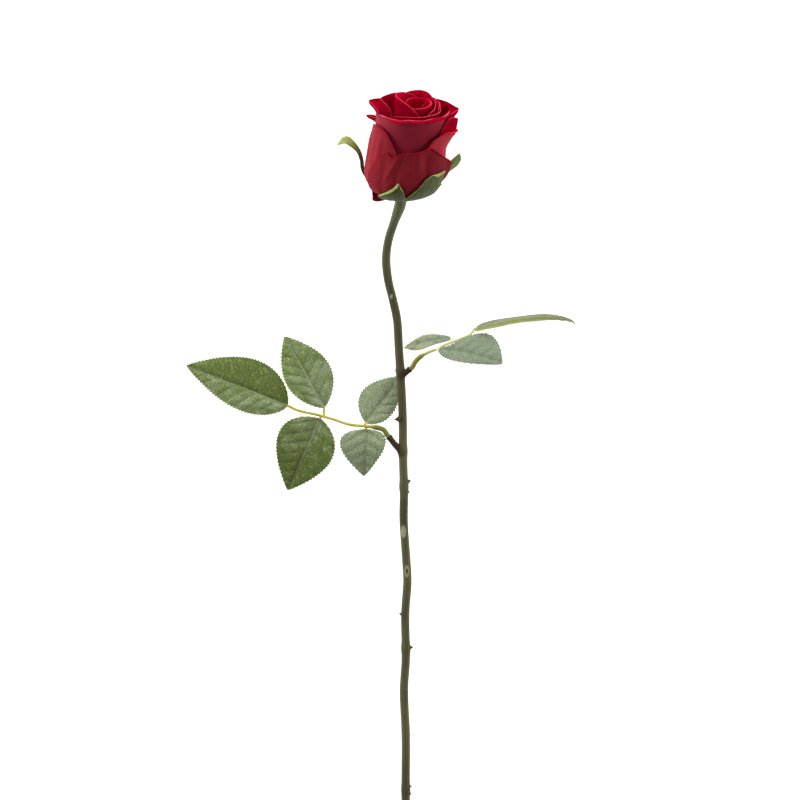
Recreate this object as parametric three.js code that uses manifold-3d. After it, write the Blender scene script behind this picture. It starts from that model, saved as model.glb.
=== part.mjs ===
// A single long-stemmed red rose, lying on its side on a flat surface.
//
// The half-open bloom has five outer petals round an inner bloom of spiralling petals, and sits in a
// green calyx with five sepals. The olive stem bends below the bloom and carries two compound leaves:
// one with five serrated leaflets, spread flat to the left, and one with three, on edge to the right.
//
// Millimetres. +X right, +Y along the stem towards the bloom, +Z up from the surface at z = 0.
// The rose touches the surface at the bloom, the cut end of the stem and the end leaflet of each leaf.

import * as THREE from "three";
import { mergeVertices } from "three/addons/utils/BufferGeometryUtils.js";
import Module from "manifold-3d";

const wasm = await Module();
wasm.setup();

const V = (x, y, z) => new THREE.Vector3(x, y, z);
const deg = THREE.MathUtils.degToRad;
const { smoothstep, lerp } = THREE.MathUtils;

// ---------------------------------------------------------------- driving dimensions

const STEM_RADIUS = 2.75;
const NECK_RADIUS = 3.8; // where the stem widens to meet the calyx
const NECK_FROM = 192; // the stem starts to widen here, along Y
const NECK_TO = 208;
const STEM_STEPS = 54;
const STEM_SIDES = 8;

const BLOOM_BASE = V(13.4, 213, 19); // where the petals leave the calyx
const BLOOM_TILT = deg(20); // the bloom's axis rises from the surface
const BLOOM_SQUAT = 0.96; // heights along the axis are taken at this share
const BLOOM_DRIFT = 0.11; // the petals stand this much further right for each millimetre of height
const BELLY_RADIUS = 26.9; // of the outermost petals, at their middle surface
const BELLY_HEIGHT = 19; // above the base
const BOWL_SQUARENESS = 2.6; // 2 would make the bowl below the belly an ellipse
const MOUTH_NARROWING = 1.8; // how much narrower the outer petals are at MOUTH_HEIGHT
const MOUTH_HEIGHT = 55;
const PETAL_THICKNESS = 0.8;
const LAYER = 1.3; // from one outer petal to the next one in
const LIP_RADIUS = 2; // of the roll at a petal's rim
const HEART_SHIFT = 8.5; // the heart stands this far right of the axis at HEART_HEIGHT
const HEART_HEIGHT = 64;
const INNER_RADIUS = 21.4; // of the inner bloom, inside the outer petals

const SEPAL_THICKNESS = 0.8;
const LEAFLET_THICKNESS = 0.7;
const LEAFLET_TEETH = 8; // on each side of a leaflet
const TOOTH_DEPTH = 0.9;
const SEAT_GAP = 0.3; // between one piece and the piece that carries it

// ---------------------------------------------------------------- materials

const finish = (color, roughness) => new THREE.MeshStandardMaterial({ color, roughness, metalness: 0 });
const PETAL_RED = finish(0xa3122a, 0.7);
const SEPAL_GREEN = finish(0x55692f, 0.65);
const STEM_OLIVE = finish(0x56532f, 0.6);
const STALK_YELLOW = finish(0xa8a03c, 0.6);
const LEAF_GREEN = finish(0x5d7a35, 0.7);

// ---------------------------------------------------------------- solids from surfaces and paths

function indexed(positions, index) {
  const geometry = new THREE.BufferGeometry();
  geometry.setAttribute("position", new THREE.Float32BufferAttribute(positions, 3));
  geometry.setIndex(index);
  return geometry;
}

const smoothPath = (points) => new THREE.CatmullRomCurve3(points, false, "centripetal");

const ACROSS = [-1, -0.5, 0, 0.5, 1]; // the columns of a narrow blade, from its left edge to its right

// A thin closed sheet round a grid of points, whose rows run along it and whose columns run across.
// Both faces are split into triangles alike. The outer face lies no lower than floor.
function sheet(grid, thickness, floor) {
  const rows = grid.length;
  const columns = grid[0].length;
  const normalAt = (j, i) => {
    const along = grid[Math.min(j + 1, rows - 1)][i].clone().sub(grid[Math.max(j - 1, 0)][i]);
    const across = grid[j][Math.min(i + 1, columns - 1)].clone().sub(grid[j][Math.max(i - 1, 0)]);
    return across.cross(along).normalize();
  };
  const positions = [];
  for (const side of [0.5, -0.5])
    for (let j = 0; j < rows; j++)
      for (let i = 0; i < columns; i++) {
        const normal = normalAt(j, i);
        const point = grid[j][i].clone().addScaledVector(normal, side * thickness);
        const lower = normal.z < 0 === side > 0;
        point.z = Math.max(point.z, lower ? floor : floor + thickness);
        positions.push(...point);
      }
  const front = (j, i) => j * columns + i;
  const back = (j, i) => rows * columns + front(j, i);
  const index = [];
  for (let j = 0; j + 1 < rows; j++)
    for (let i = 0; i + 1 < columns; i++) {
      index.push(front(j, i), front(j, i + 1), front(j + 1, i + 1));
      index.push(front(j, i), front(j + 1, i + 1), front(j + 1, i));
      index.push(back(j, i), back(j + 1, i + 1), back(j, i + 1));
      index.push(back(j, i), back(j + 1, i), back(j + 1, i + 1));
    }
  const rim = [];
  for (let i = 0; i < columns; i++) rim.push([0, i]);
  for (let j = 1; j < rows; j++) rim.push([j, columns - 1]);
  for (let i = columns - 2; i >= 0; i--) rim.push([rows - 1, i]);
  for (let j = rows - 2; j > 0; j--) rim.push([j, 0]);
  rim.forEach((here, k) => {
    const next = rim[(k + 1) % rim.length];
    index.push(front(...here), back(...here), back(...next));
    index.push(front(...here), back(...next), front(...next));
  });
  return indexed(positions, index);
}

// A closed tube along a path, with flat ends.
function tube(path, radiusAt, steps, sides) {
  const frames = path.computeFrenetFrames(steps, false);
  const positions = [];
  for (let j = 0; j <= steps; j++) {
    const centre = path.getPointAt(j / steps);
    for (let i = 0; i < sides; i++) {
      const turn = (i / sides) * 2 * Math.PI;
      const out = frames.normals[j].clone().multiplyScalar(Math.cos(turn));
      out.addScaledVector(frames.binormals[j], Math.sin(turn));
      positions.push(...centre.clone().addScaledVector(out, radiusAt(j / steps)));
    }
  }
  positions.push(...path.getPointAt(0), ...path.getPointAt(1));
  const start = (steps + 1) * sides;
  const index = [];
  for (let i = 0; i < sides; i++) {
    const next = (i + 1) % sides;
    for (let j = 0; j < steps; j++) {
      const low = j * sides;
      index.push(low + i, low + next, low + sides + next);
      index.push(low + i, low + sides + next, low + sides + i);
    }
    index.push(start, next, i);
    index.push(start + 1, steps * sides + i, steps * sides + next);
  }
  return indexed(positions, index);
}

// ---------------------------------------------------------------- booleans

function solid(geometry) {
  const bare = new THREE.BufferGeometry();
  bare.setAttribute("position", geometry.getAttribute("position"));
  bare.setIndex(geometry.index);
  const merged = mergeVertices(bare, 1e-4);
  const positions = merged.attributes.position.array;
  const make = (triVerts) =>
    new wasm.Manifold(
      new wasm.Mesh({ numProp: 3, vertProperties: new Float32Array(positions), triVerts }),
    );
  const made = make(new Uint32Array(merged.index.array));
  return made.volume() >= 0 ? made : make(new Uint32Array(merged.index.array).reverse());
}

const joined = (geometries) => geometries.map(solid).reduce((all, one) => all.add(one));

function geometryOf(made) {
  const body = made.decompose().reduce((a, b) => (b.volume() > a.volume() ? b : a));
  const mesh = body.getMesh();
  const positions = [];
  for (let i = 0; i < mesh.numVert; i++)
    positions.push(...mesh.vertProperties.subarray(i * mesh.numProp, i * mesh.numProp + 3));
  return indexed(positions, [...mesh.triVerts]);
}

// ---------------------------------------------------------------- the bloom's own frame

// +X right, +Y down towards the surface, +Z along the bloom's axis. A petal's azimuth runs from the top
// of the lying bloom, at 0 degrees, to its right side, at 90.
const bloomFrame = new THREE.Matrix4()
  .makeTranslation(BLOOM_BASE)
  .multiply(new THREE.Matrix4().makeRotationX(BLOOM_TILT - Math.PI / 2))
  .scale(V(1, 1, BLOOM_SQUAT))
  .multiply(new THREE.Matrix4().makeShear(0, 0, 0, 0, BLOOM_DRIFT, 0));

function bloomPoint(azimuth, radius, height, shift = 0) {
  const [right, up] = [radius * Math.sin(deg(azimuth)), radius * Math.cos(deg(azimuth))];
  return V(right + shift, -up, height).applyMatrix4(bloomFrame);
}

// ---------------------------------------------------------------- stem

const CUP_BOTTOM = -3; // of the calyx, along the bloom's axis

const STEM_TOP = bloomPoint(0, 0, CUP_BOTTOM - SEAT_GAP);
const STEM_PATH = smoothPath([
  STEM_TOP,
  STEM_TOP.clone().sub(V(0, Math.cos(BLOOM_TILT), Math.sin(BLOOM_TILT)).multiplyScalar(3)),
  V(9.4, 196.3, 13.4),
  V(5.2, 183.3, 11.6),
  V(3.6, 171, 11),
  V(4.9, 157.3, 11.2),
  V(8, 144.3, 11.6),
  V(10.7, 131.3, 12),
  V(11.9, 112, 12.3),
  V(13.2, 92, 12.2),
  V(14.4, 66, 11.6),
  V(14.6, 42, 10.6),
  V(15.2, 20, 9.6),
  V(15, 1.3, 8.7),
  V(16.7, -24.8, 7.6),
  V(17.4, -37.8, 7),
  V(16, -60, 6.2),
  V(16.4, -88, 5.3),
  V(15.2, -109, 4.7),
  V(16.4, -140, 4),
  V(16.3, -176, 3.5),
  V(17.2, -215, 3.1),
  V(19.6, -247, 2.85),
  V(23, -279.5, STEM_RADIUS),
]);

// Swellings where a leaf or an old leaf scar joins the stem.
const NODE_LENGTH = 3.5;
const STEM_NODES = [
  { y: 98, swell: 0.35 },
  { y: 46, swell: 0.35 },
  { y: 23, swell: 0.4 },
  { y: -82, swell: 0.4 },
  { y: -174, swell: 0.3 },
];

function stemRadius(t) {
  const y = STEM_PATH.getPointAt(t).y;
  const neck = (NECK_RADIUS - STEM_RADIUS) * smoothstep(y, NECK_FROM, NECK_TO);
  const swell = STEM_NODES.reduce((sum, n) => sum + n.swell * Math.exp(-(((y - n.y) / NODE_LENGTH) ** 2)), 0);
  return STEM_RADIUS + neck + swell;
}

// The share of the stem's length, from the neck, at which it is at this height.
function shareAt(y) {
  let [low, high] = [0, 1];
  for (let k = 0; k < 24; k++) {
    const middle = (low + high) / 2;
    if (STEM_PATH.getPointAt(middle).y > y) low = middle;
    else high = middle;
  }
  return low;
}

const PRICKLE_BASE = 1.5;
const PRICKLES = [
  { y: 66, away: V(-1, 0.15, 0.2), length: 2.4 },
  { y: 25, away: V(1, 0.5, 0.1), length: 2.6 },
  { y: 19, away: V(1, 0.3, -0.2), length: 1.4 },
  { y: -60.5, away: V(-1, 0.4, 0), length: 1.7 },
  { y: -82, away: V(1, 0.3, 0.1), length: 2.3 },
  { y: -174, away: V(1, 0.3, 0.1), length: 1.5 },
];

function prickle({ y, away, length }) {
  const reach = STEM_RADIUS + length;
  const cone = new THREE.ConeGeometry(PRICKLE_BASE, reach, 5);
  cone.translate(0, reach / 2, 0);
  cone.applyQuaternion(new THREE.Quaternion().setFromUnitVectors(V(0, 1, 0), away.clone().normalize()));
  return cone.translate(...STEM_PATH.getPointAt(shareAt(y)));
}

// The short spurs of the stem that hold the two leaf stalks.
const SPURS = {
  left: [V(14.7, 40, 10.5), V(12.6, 46.5, 11), V(8.6, 51.2, 11.8), V(5.2, 55.6, 12.4)],
  right: [V(12.9, 92, 12.2), V(14.6, 95.6, 12.6), V(17, 97.6, 13), V(19.2, 99.4, 13.5)],
};
const SPUR_RADIUS = 1.8;

const spur = (points) => tube(smoothPath(points), (t) => lerp(STEM_RADIUS * 0.85, SPUR_RADIUS, t), 5, 7);

const stemSolid = joined([
  tube(STEM_PATH, stemRadius, STEM_STEPS, STEM_SIDES),
  ...Object.values(SPURS).map(spur),
  ...PRICKLES.map(prickle),
]);

// ---------------------------------------------------------------- bloom

// Each point of a rim: azimuth, height, how far it stands out, and how far its lip rolls, in degrees.
function rimOf(points) {
  const path = smoothPath(points.map(([azimuth, height, out = 0]) => V(azimuth, height, out)));
  return (share) => {
    const { x: azimuth, y: height, z: out } = path.getPoint(share);
    const place = share * (points.length - 1);
    const k = Math.min(Math.floor(place), points.length - 2);
    const roll = lerp(points[k][3] ?? 0, points[k + 1][3] ?? 0, place - k);
    return { azimuth, height, out, roll: deg(roll) };
  };
}

const LIP_STEPS = [0.5, 1];
const LIP_LEAST = 0.3; // the share of LIP_RADIUS that a rim without a roll still rises

function petalGrid(rimPoints, columns, profile) {
  const rim = rimOf(rimPoints);
  const edges = Array.from({ length: columns + 1 }, (_, i) => rim(i / columns));
  const body = edges.map((edge) => profile(edge));
  const rows = body[0].map((_, j) =>
    edges.map((edge, i) => bloomPoint(edge.azimuth, body[i][j].radius, body[i][j].height, body[i][j].shift)),
  );
  for (const t of LIP_STEPS)
    rows.push(
      edges.map((edge, i) => {
        const { radius, height, shift } = body[i].at(-1);
        const roll = edge.roll * t;
        const reach = LIP_RADIUS * (1 - Math.cos(roll));
        const rise = LIP_RADIUS * Math.sin(Math.max(roll, LIP_LEAST * t));
        return bloomPoint(edge.azimuth, radius + reach, height + rise, shift);
      }),
    );
  return rows;
}

// The outer petals share one bowl. A layer is how many petals lie outside this one.
const OUTER_COLUMNS = 10;
const OUTER_PETALS = {
  front: {
    layer: 0,
    rim: [
      [-48, 21], [-41, 28], [-31, 34.5, 0, 10], [-8, 38.5, 0, 15], [14, 40, 0, 15],
      [31, 42.5, 0.4, 40], [46, 37.5, 0.8, 70], [64, 30, 1.6, 80], [79, 23.5, 3, 70],
      [86, 20, 1.6, 20],
    ],
  },
  left: {
    layer: 1,
    rim: [
      [-146, 25], [-130, 39], [-108, 46.5], [-84, 49.6, 0, 10], [-60, 51, 0.2, 30],
      [-42, 49.5, 0, 25], [-27, 45, 0, 5], [-17, 38], [-8, 27],
    ],
  },
  right: {
    layer: 1,
    rim: [
      [22, 24], [29, 39, 0, 20], [38, 44.5, 0.2, 40], [54, 46.5, 1.2, 90], [74, 45, 2.2, 125],
      [90, 45, 3.2, 120], [104, 49, 2.8, 40], [120, 51.5, 1.6, 20], [136, 45], [147, 28],
    ],
  },
  under_left: {
    layer: 2,
    rim: [
      [-216, 24], [-200, 42], [-180, 48, 0, 20], [-158, 48.5, 0, 10], [-134, 44], [-114, 38],
      [-98, 31], [-92, 24],
    ],
  },
  under_right: {
    layer: 0,
    rim: [
      [106, 21], [114, 29], [130, 37, 0, 10], [152, 43, 0.4, 20], [176, 44, 0.6, 30],
      [194, 40, 0.4, 20], [207, 31], [213, 21],
    ],
  },
};
const PETAL_ROOT = 5.5; // the radius at which the outer petals start
const BOWL_STEPS = [0, 0.3, 0.6, 0.8, 1];
const WALL_STEPS = [0.33, 0.67, 1];
const STAND_OUT_LENGTH = 12; // a petal leaves its neighbours this far below its rim

// The middle surface of a layer: share 0 is at the root and 1 at the belly.
function bowl(layer, share) {
  const belly = BELLY_RADIUS - layer * LAYER;
  const bottom = PETAL_THICKNESS / 2 + SEAT_GAP + layer * LAYER;
  const power = 2 / BOWL_SQUARENESS;
  const turn = lerp(Math.asin((PETAL_ROOT / belly) ** (1 / power)), Math.PI / 2, share);
  const fall = share < 1 ? Math.cos(turn) ** power : 0;
  return { radius: belly * Math.sin(turn) ** power, height: lerp(bottom, BELLY_HEIGHT, 1 - fall), turn };
}

function wallRadius(layer, height) {
  const share = (height - BELLY_HEIGHT) / (MOUTH_HEIGHT - BELLY_HEIGHT);
  return BELLY_RADIUS - layer * LAYER - MOUTH_NARROWING * share ** 2;
}

function outerProfile(layer) {
  return (edge) => {
    const standOut = (height) => edge.out * smoothstep(height, edge.height - STAND_OUT_LENGTH, edge.height);
    return [
      ...BOWL_STEPS.map((t) => bowl(layer, t)),
      ...WALL_STEPS.map((t) => {
        const height = lerp(BELLY_HEIGHT, edge.height, t);
        return { radius: wallRadius(layer, height), height };
      }),
    ].map(({ radius, height }) => ({ radius: radius + standOut(height), height, shift: 0 }));
  };
}

const outerPetal = ({ layer, rim }) =>
  sheet(petalGrid(rim, OUTER_COLUMNS, outerProfile(layer)), PETAL_THICKNESS, layer * LAYER);

// The inner petals stand in one core, from outside to inside. A petal leaves the core at height from,
// and flares over the last part of its height. Its radius goes from belly to mouth as the bloom opens.
const OPENING = [38, 60]; // the heights between which the inner bloom opens
const INNER_COLUMNS = 7;
const INNER_PETALS = [
  {
    belly: 21.6, mouth: 21.6, from: 16, flare: 3,
    rim: [
      [-128, 40], [-114, 51], [-104, 54.5, 1.4], [-94, 56.4, 6.4], [-84, 55.5, 1.6], [-76, 54],
      [-58, 50], [-44, 44], [-36, 36],
    ],
  },
  {
    belly: 21.2, mouth: 22.8, from: 16, flare: 12,
    rim: [
      [-88, 56, 0, 20], [-66, 58, 0, 100], [-34, 58.5, 0, 135], [0, 58, 0, 150], [34, 57.5, 0, 150],
      [64, 56.5, 0, 140], [88, 56.5, 0.6, 60], [98, 54, 0, 20],
    ],
  },
  {
    belly: 21.2, mouth: 22.4, from: 18, flare: 14,
    rim: [
      [76, 50], [88, 55.5, 1], [101, 58, 7.6, 20], [122, 60.5, 3.4, 30], [146, 61.5, 0.5, 20],
      [164, 58], [174, 50],
    ],
  },
  {
    belly: 20.4, mouth: 21.4, from: 18, flare: 9,
    rim: [
      [-174, 44], [-154, 52], [-134, 61, 1.2, 25], [-106, 64, 6.6, 25], [-88, 58, 2, 30], [-72, 50],
    ],
  },
  {
    belly: 18.4, mouth: 18.8, from: 22, flare: 14,
    rim: [
      [-204, 50], [-186, 60], [-164, 63, 0, 30], [-140, 63.5, 0, 30], [-118, 61], [-102, 52],
    ],
  },
  {
    belly: 17.4, mouth: 18.6, from: 22, flare: 14,
    rim: [
      [92, 51], [110, 58, 0, 20], [136, 62, 0.6, 40], [160, 63, 0, 30], [182, 58], [196, 50],
    ],
  },
  {
    belly: 17, mouth: 18, from: 26, flare: 14,
    rim: [
      [14, 50], [30, 56], [56, 59, 0, 50], [82, 59, 0.5, 50], [104, 56.5], [120, 50],
    ],
  },
  {
    belly: 13.2, mouth: 14, from: 32, flare: 14,
    rim: [
      [112, 55], [130, 61.5, 0, 20], [156, 66, 0, 40], [184, 67.5, 0, 45], [210, 67, 0, 30],
      [230, 62.5], [244, 54],
    ],
  },
  {
    belly: 13.6, mouth: 13, from: 32, flare: 14,
    rim: [
      [-162, 58], [-140, 65.5, 0, 15], [-104, 68, 0, 25], [-66, 68.5, 0, 25], [-30, 67, 0, 20],
      [6, 62.5, 0, 10], [32, 58], [52, 52],
    ],
  },
  {
    belly: 10, mouth: 10, from: 36, flare: 14,
    rim: [
      [36, 53], [66, 59, 0, 20], [104, 62.5, 0, 40], [150, 64.5, 0, 30], [200, 65, 0, 30],
      [244, 62], [272, 56],
    ],
  },
  {
    belly: 7.4, mouth: 7.2, from: 38, flare: 14,
    rim: [
      [-112, 57], [-78, 62, 0, 20], [-34, 63.5, 0, 20], [16, 62, 0, 20], [62, 59.5], [92, 55],
    ],
  },
  {
    belly: 4.6, mouth: 4.6, from: 40, flare: 14,
    rim: [
      [60, 55], [104, 61.5, 0, 20], [170, 63.5, 0, 20], [232, 62.5], [290, 59.5], [330, 55],
    ],
  },
];
const CORE_PROFILE = [
  [0, 0.3], [4, 0.3], [4, 5], [12, 6.4], [18, 9.4], [20.8, 14.4],
  [21.6, 22], [20, 31], [15, 40], [9, 45], [0, 47.5],
];
const INNER_FLOOR = 3 * LAYER;

function innerProfile({ belly, mouth, from, flare }) {
  return (edge) =>
    [from, edge.height - flare, edge.height].map((height) => {
      const opened = (mouth - belly) * smoothstep(height, ...OPENING);
      const out = edge.out * smoothstep(height, edge.height - flare, edge.height);
      const shift = HEART_SHIFT * (height / HEART_HEIGHT) * Math.max(0, 1 - belly / INNER_RADIUS);
      return { radius: belly + opened + out, height, shift };
    });
}

const innerPetal = (petal) =>
  sheet(petalGrid(petal.rim, INNER_COLUMNS, innerProfile(petal)), PETAL_THICKNESS, INNER_FLOOR);

function bloomCore() {
  const lathe = new THREE.LatheGeometry(CORE_PROFILE.map(([r, h]) => new THREE.Vector2(r, h)), 14);
  lathe.rotateX(Math.PI / 2);
  lathe.applyMatrix4(bloomFrame);
  const { position } = lathe.attributes;
  for (let k = 0; k < position.count; k++) position.setZ(k, Math.max(position.getZ(k), INNER_FLOOR));
  return lathe;
}

const innerSolid = joined([bloomCore(), ...INNER_PETALS.map(innerPetal)]);

// ---------------------------------------------------------------- calyx

// Each sepal follows the bloom from the calyx cup. Its points: azimuth, share of the way to the belly,
// half-width, how far it stands off the petals, and how far it is twisted about its own length.
const SEPALS = [
  [[-20, 0, 4], [-19, 0.3, 8.4], [-16, 0.56, 8.2], [-11, 0.82, 4.6], [-7, 1, 0.5]],
  [[38, 0, 4], [40, 0.3, 8], [46, 0.58, 8.4], [53, 0.84, 7], [59, 1.02, 4.2], [63, 1.14, 0.5, 0.8]],
  [
    [98, 0, 4], [98, 0.3, 5.4], [98, 0.6, 4.2, 0.3], [98, 0.92, 2.4, 0.8], [98, 1.08, 2.3, 2, 40],
    [98, 1.2, 2.2, 4.2, 70], [98.5, 1.34, 0.5, 6.4, 70],
  ],
  [[180, 0, 4], [180, 0.16, 5], [180, 0.3, 3.6], [180, 0.44, 0.5]],
  [
    [-98, 0, 3.6], [-98, 0.3, 3], [-98, 0.62, 2, 0.3], [-98, 1, 1.6, 0.8, 20],
    [-98, 1.34, 1.8, 3.8, 50], [-98, 1.56, 2.2, 8.4, 55], [-98, 1.66, 3, 13, 40],
    [-98, 1.5, 0.6, 17.4, 30],
  ],
];
const SEPAL_LAYER = -1.35;
const SEPAL_STEPS_PER_POINT = 1.6;
const WALL_PER_SHARE = 28; // beyond the belly, one share is this much higher
const CUP_PROFILE = [[0, CUP_BOTTOM], [4.2, CUP_BOTTOM], [7.4, -1.4], [7.4, -0.6], [3, -0.1], [0, -0.1]];

function sepalPlace(azimuth, share, off) {
  const wall = Math.max(0, share - 1) * WALL_PER_SHARE;
  const { radius, height, turn } = bowl(SEPAL_LAYER, Math.min(share, 1));
  const reach = wall > 0 ? wallRadius(SEPAL_LAYER, height + wall) : radius;
  return { azimuth, radius: reach + off * Math.sin(turn), height: height + wall - off * Math.cos(turn) };
}

function sepal(points) {
  const middle = smoothPath(
    points.map(([azimuth, share, , off = 0]) => V(deg(azimuth), share, off / BELLY_RADIUS)),
  );
  const spread = smoothPath(points.map(([, , half, , twist = 0], k) => V(k, half, deg(twist))));
  const placeAt = (t) => {
    const { x, y, z } = middle.getPoint(t);
    return sepalPlace(THREE.MathUtils.radToDeg(x), y, z * BELLY_RADIUS);
  };
  const rows = Math.round(SEPAL_STEPS_PER_POINT * (points.length - 1));
  const grid = Array.from({ length: rows + 1 }, (_, j) => {
    const { azimuth, radius, height } = placeAt(j / rows);
    const [before, after] = [placeAt(Math.max(0, (j - 0.5) / rows)), placeAt(Math.min(1, (j + 0.5) / rows))];
    const run = new THREE.Vector2(after.radius - before.radius, after.height - before.height).normalize();
    const { y: half, z: twist } = spread.getPoint(j / rows);
    return ACROSS.map((c) => {
      const turn = THREE.MathUtils.radToDeg(Math.atan2(c * half * Math.cos(twist), radius));
      const rise = c * half * Math.sin(twist);
      return bloomPoint(azimuth + turn, radius - run.y * rise, height + run.x * rise);
    });
  });
  return sheet(grid, SEPAL_THICKNESS, 0);
}

function calyxCup() {
  const lathe = new THREE.LatheGeometry(CUP_PROFILE.map(([r, h]) => new THREE.Vector2(r, h)), 12);
  return lathe.rotateX(Math.PI / 2).applyMatrix4(bloomFrame);
}

const calyxSolid = joined([calyxCup(), ...SEPALS.map(sepal)]);

// ---------------------------------------------------------------- leaves

// A leaf's stalk goes on from its spur to the end leaflet. Each leaflet sits on the end of its own short
// branch, or of the stalk, and points to its tip. arch bends it towards facing, and fold lifts its edges.
const LEAVES = {
  left: {
    stalk: [
      V(1.5, 60.2, 12.9), V(-10.5, 62.3, 12.6), V(-20, 63.3, 12), V(-30.3, 66.6, 11.2),
      V(-40, 69.4, 10.4), V(-54, 72.6, 9.2), V(-60, 75.4, 8.5),
    ],
    leaflets: {
      end: {
        tip: V(-126.2, 101.6, 0.35), facing: V(0.05, 0, 1),
        left: 14.8, right: 20.6, arch: 3.4, fold: 0.1,
      },
      upper: {
        branch: [V(-36.2, 68.3, 10.7), V(-36.9, 71.4, 10.8), V(-36.6, 74, 10.6)],
        tip: V(-62.5, 120.5, 6), facing: V(0.1, 0.05, 1),
        left: 14.3, right: 16.9, arch: 1.5, fold: 0.1,
      },
      lower: {
        branch: [V(-38.6, 69, 10.5), V(-39.2, 67.4, 10.4)],
        tip: V(-60.4, 20.8, 1.2), facing: V(0, -0.15, 1),
        left: 18.1, right: 20, arch: 2.5, fold: 0.12,
      },
      inner_upper: {
        branch: [V(-10.8, 62.3, 12.6), V(-9.6, 64.2, 12.3)],
        tip: V(13.9, 94.9, 4.2), facing: V(0.1, 0, 1),
        left: 15.1, right: 10.4, arch: 0.5, fold: 0.05,
      },
      inner_lower: {
        branch: [V(-10.2, 62.3, 12.6), V(-9.4, 60.6, 12.4)],
        tip: V(-10.8, 29.9, 5), facing: V(0, 0, 1),
        left: 12.4, right: 17, arch: 2.5, fold: 0.12,
      },
    },
  },
  right: {
    stalk: [
      V(22.4, 103.8, 14.5), V(26, 107.4, 15.6), V(32, 110.6, 16.8), V(37.5, 112.6, 17.6),
      V(43, 115.6, 17.8), V(52, 119, 17.4), V(58.6, 122.2, 16.8), V(61, 125.4, 16.4),
    ],
    leaflets: {
      end: {
        tip: V(126.2, 128.1, 9.5), facing: V(0, -1, 0.12),
        left: 15, right: 15, arch: -5.5, fold: 0.08,
      },
      near: {
        branch: [V(36, 112, 17.4), V(36.6, 112.2, 20.4), V(37.4, 112.2, 22.8)],
        tip: V(78.7, 102.6, 37), facing: V(0, 0.72, 0.7),
        left: 11.5, right: 12.5, arch: 2.5, fold: 0.1,
      },
      far: {
        branch: [V(44, 115.9, 17.8), V(46, 118, 15.4), V(46, 119, 12.6)],
        tip: V(16.4, 113.2, 3.6), facing: V(-0.25, 0.85, 0.46),
        left: 9.5, right: 9.5, arch: 1.5, fold: 0.06,
      },
    },
  },
};
const STALK_RADIUS = 1.15;
const STALK_BASE_RADIUS = 1.5;
const STALK_TAPER = 0.25;
const BRANCH_RADIUS = 0.85;
const STALK_END = 1; // the last straight length of a stalk, towards its leaflet
const BRANCH_END = 0.8;
const FACES_APART = SEAT_GAP + 0.1; // where two end faces meet at a slight angle

const direction = (from, to) => to.clone().sub(from).normalize();

const stalkRadius = (t) => lerp(STALK_BASE_RADIUS, STALK_RADIUS, Math.min(4 * t, 1)) - STALK_TAPER * t;

// Both sides of a seat run along the same line, so that their end faces are parallel.
function stalkSolid({ stalk, leaflets }, spurPoints) {
  const spurEnd = spurPoints.at(-1);
  const start = direction(spurPoints.at(-2), spurEnd);
  const main = [
    spurEnd.clone().addScaledVector(start, FACES_APART),
    spurEnd.clone().addScaledVector(start, FACES_APART + 1.5),
    ...stalk,
    stalk.at(-1).clone().addScaledVector(direction(stalk.at(-1), leaflets.end.tip), STALK_END),
  ];
  const branches = Object.values(leaflets)
    .filter(({ branch }) => branch)
    .map(({ branch, tip }) => {
      const end = branch.at(-1);
      return [...branch, end.clone().addScaledVector(direction(end, tip), BRANCH_END)];
    });
  return joined([
    tube(smoothPath(main), stalkRadius, 18, 6),
    ...branches.map((points) => tube(smoothPath(points), () => BRANCH_RADIUS, 3, 5)),
  ]);
}

function seatOf(leaf, { branch, tip }) {
  const carrier = branch ?? leaf.stalk;
  const out = direction(carrier.at(-1), tip);
  return carrier.at(-1).clone().addScaledVector(out, (branch ? BRANCH_END : STALK_END) + FACES_APART);
}

const LEAFLET_BASE_HALF = 0.8;
const LEAFLET_TIP_HALF = 0.3;
const LEAFLET_WAVE = 0.02; // how far the edge waves up and down, as a share of the half-width

const leafletOutline = (t) => Math.sin(Math.PI * t ** 0.72) ** 0.82;

function leaflet(base, { tip, facing, left, right, arch, fold }) {
  const along = tip.clone().sub(base);
  const across = along.clone().cross(facing).normalize();
  const up = across.clone().cross(along).normalize();
  const rows = 2 * LEAFLET_TEETH;
  const grid = Array.from({ length: rows + 1 }, (_, j) => {
    const t = j / rows;
    const middle = base.clone().addScaledVector(along, t);
    middle.addScaledVector(up, arch * Math.sin(Math.PI * t) ** 1.2);
    return ACROSS.map((c) => {
      const full = (c < 0 ? left : right) * leafletOutline(Math.min(Math.max(t, 0.001), 0.999));
      const notch = j % 2 === 0 ? Math.min(TOOTH_DEPTH, 0.16 * full) : 0;
      const end = t > 0.5 ? LEAFLET_TIP_HALF : LEAFLET_BASE_HALF;
      const half = Math.max(end, full - notch);
      const lift = Math.abs(c) * half * (fold + LEAFLET_WAVE * Math.sin(9 * t + 2 * c));
      return middle.clone().addScaledVector(across, c * half).addScaledVector(up, lift);
    });
  });
  return sheet(grid, LEAFLET_THICKNESS, 0);
}

// ---------------------------------------------------------------- the rose

const named = (name, geometry, material) => {
  const mesh = new THREE.Mesh(geometry, material);
  mesh.name = name;
  return mesh;
};

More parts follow.
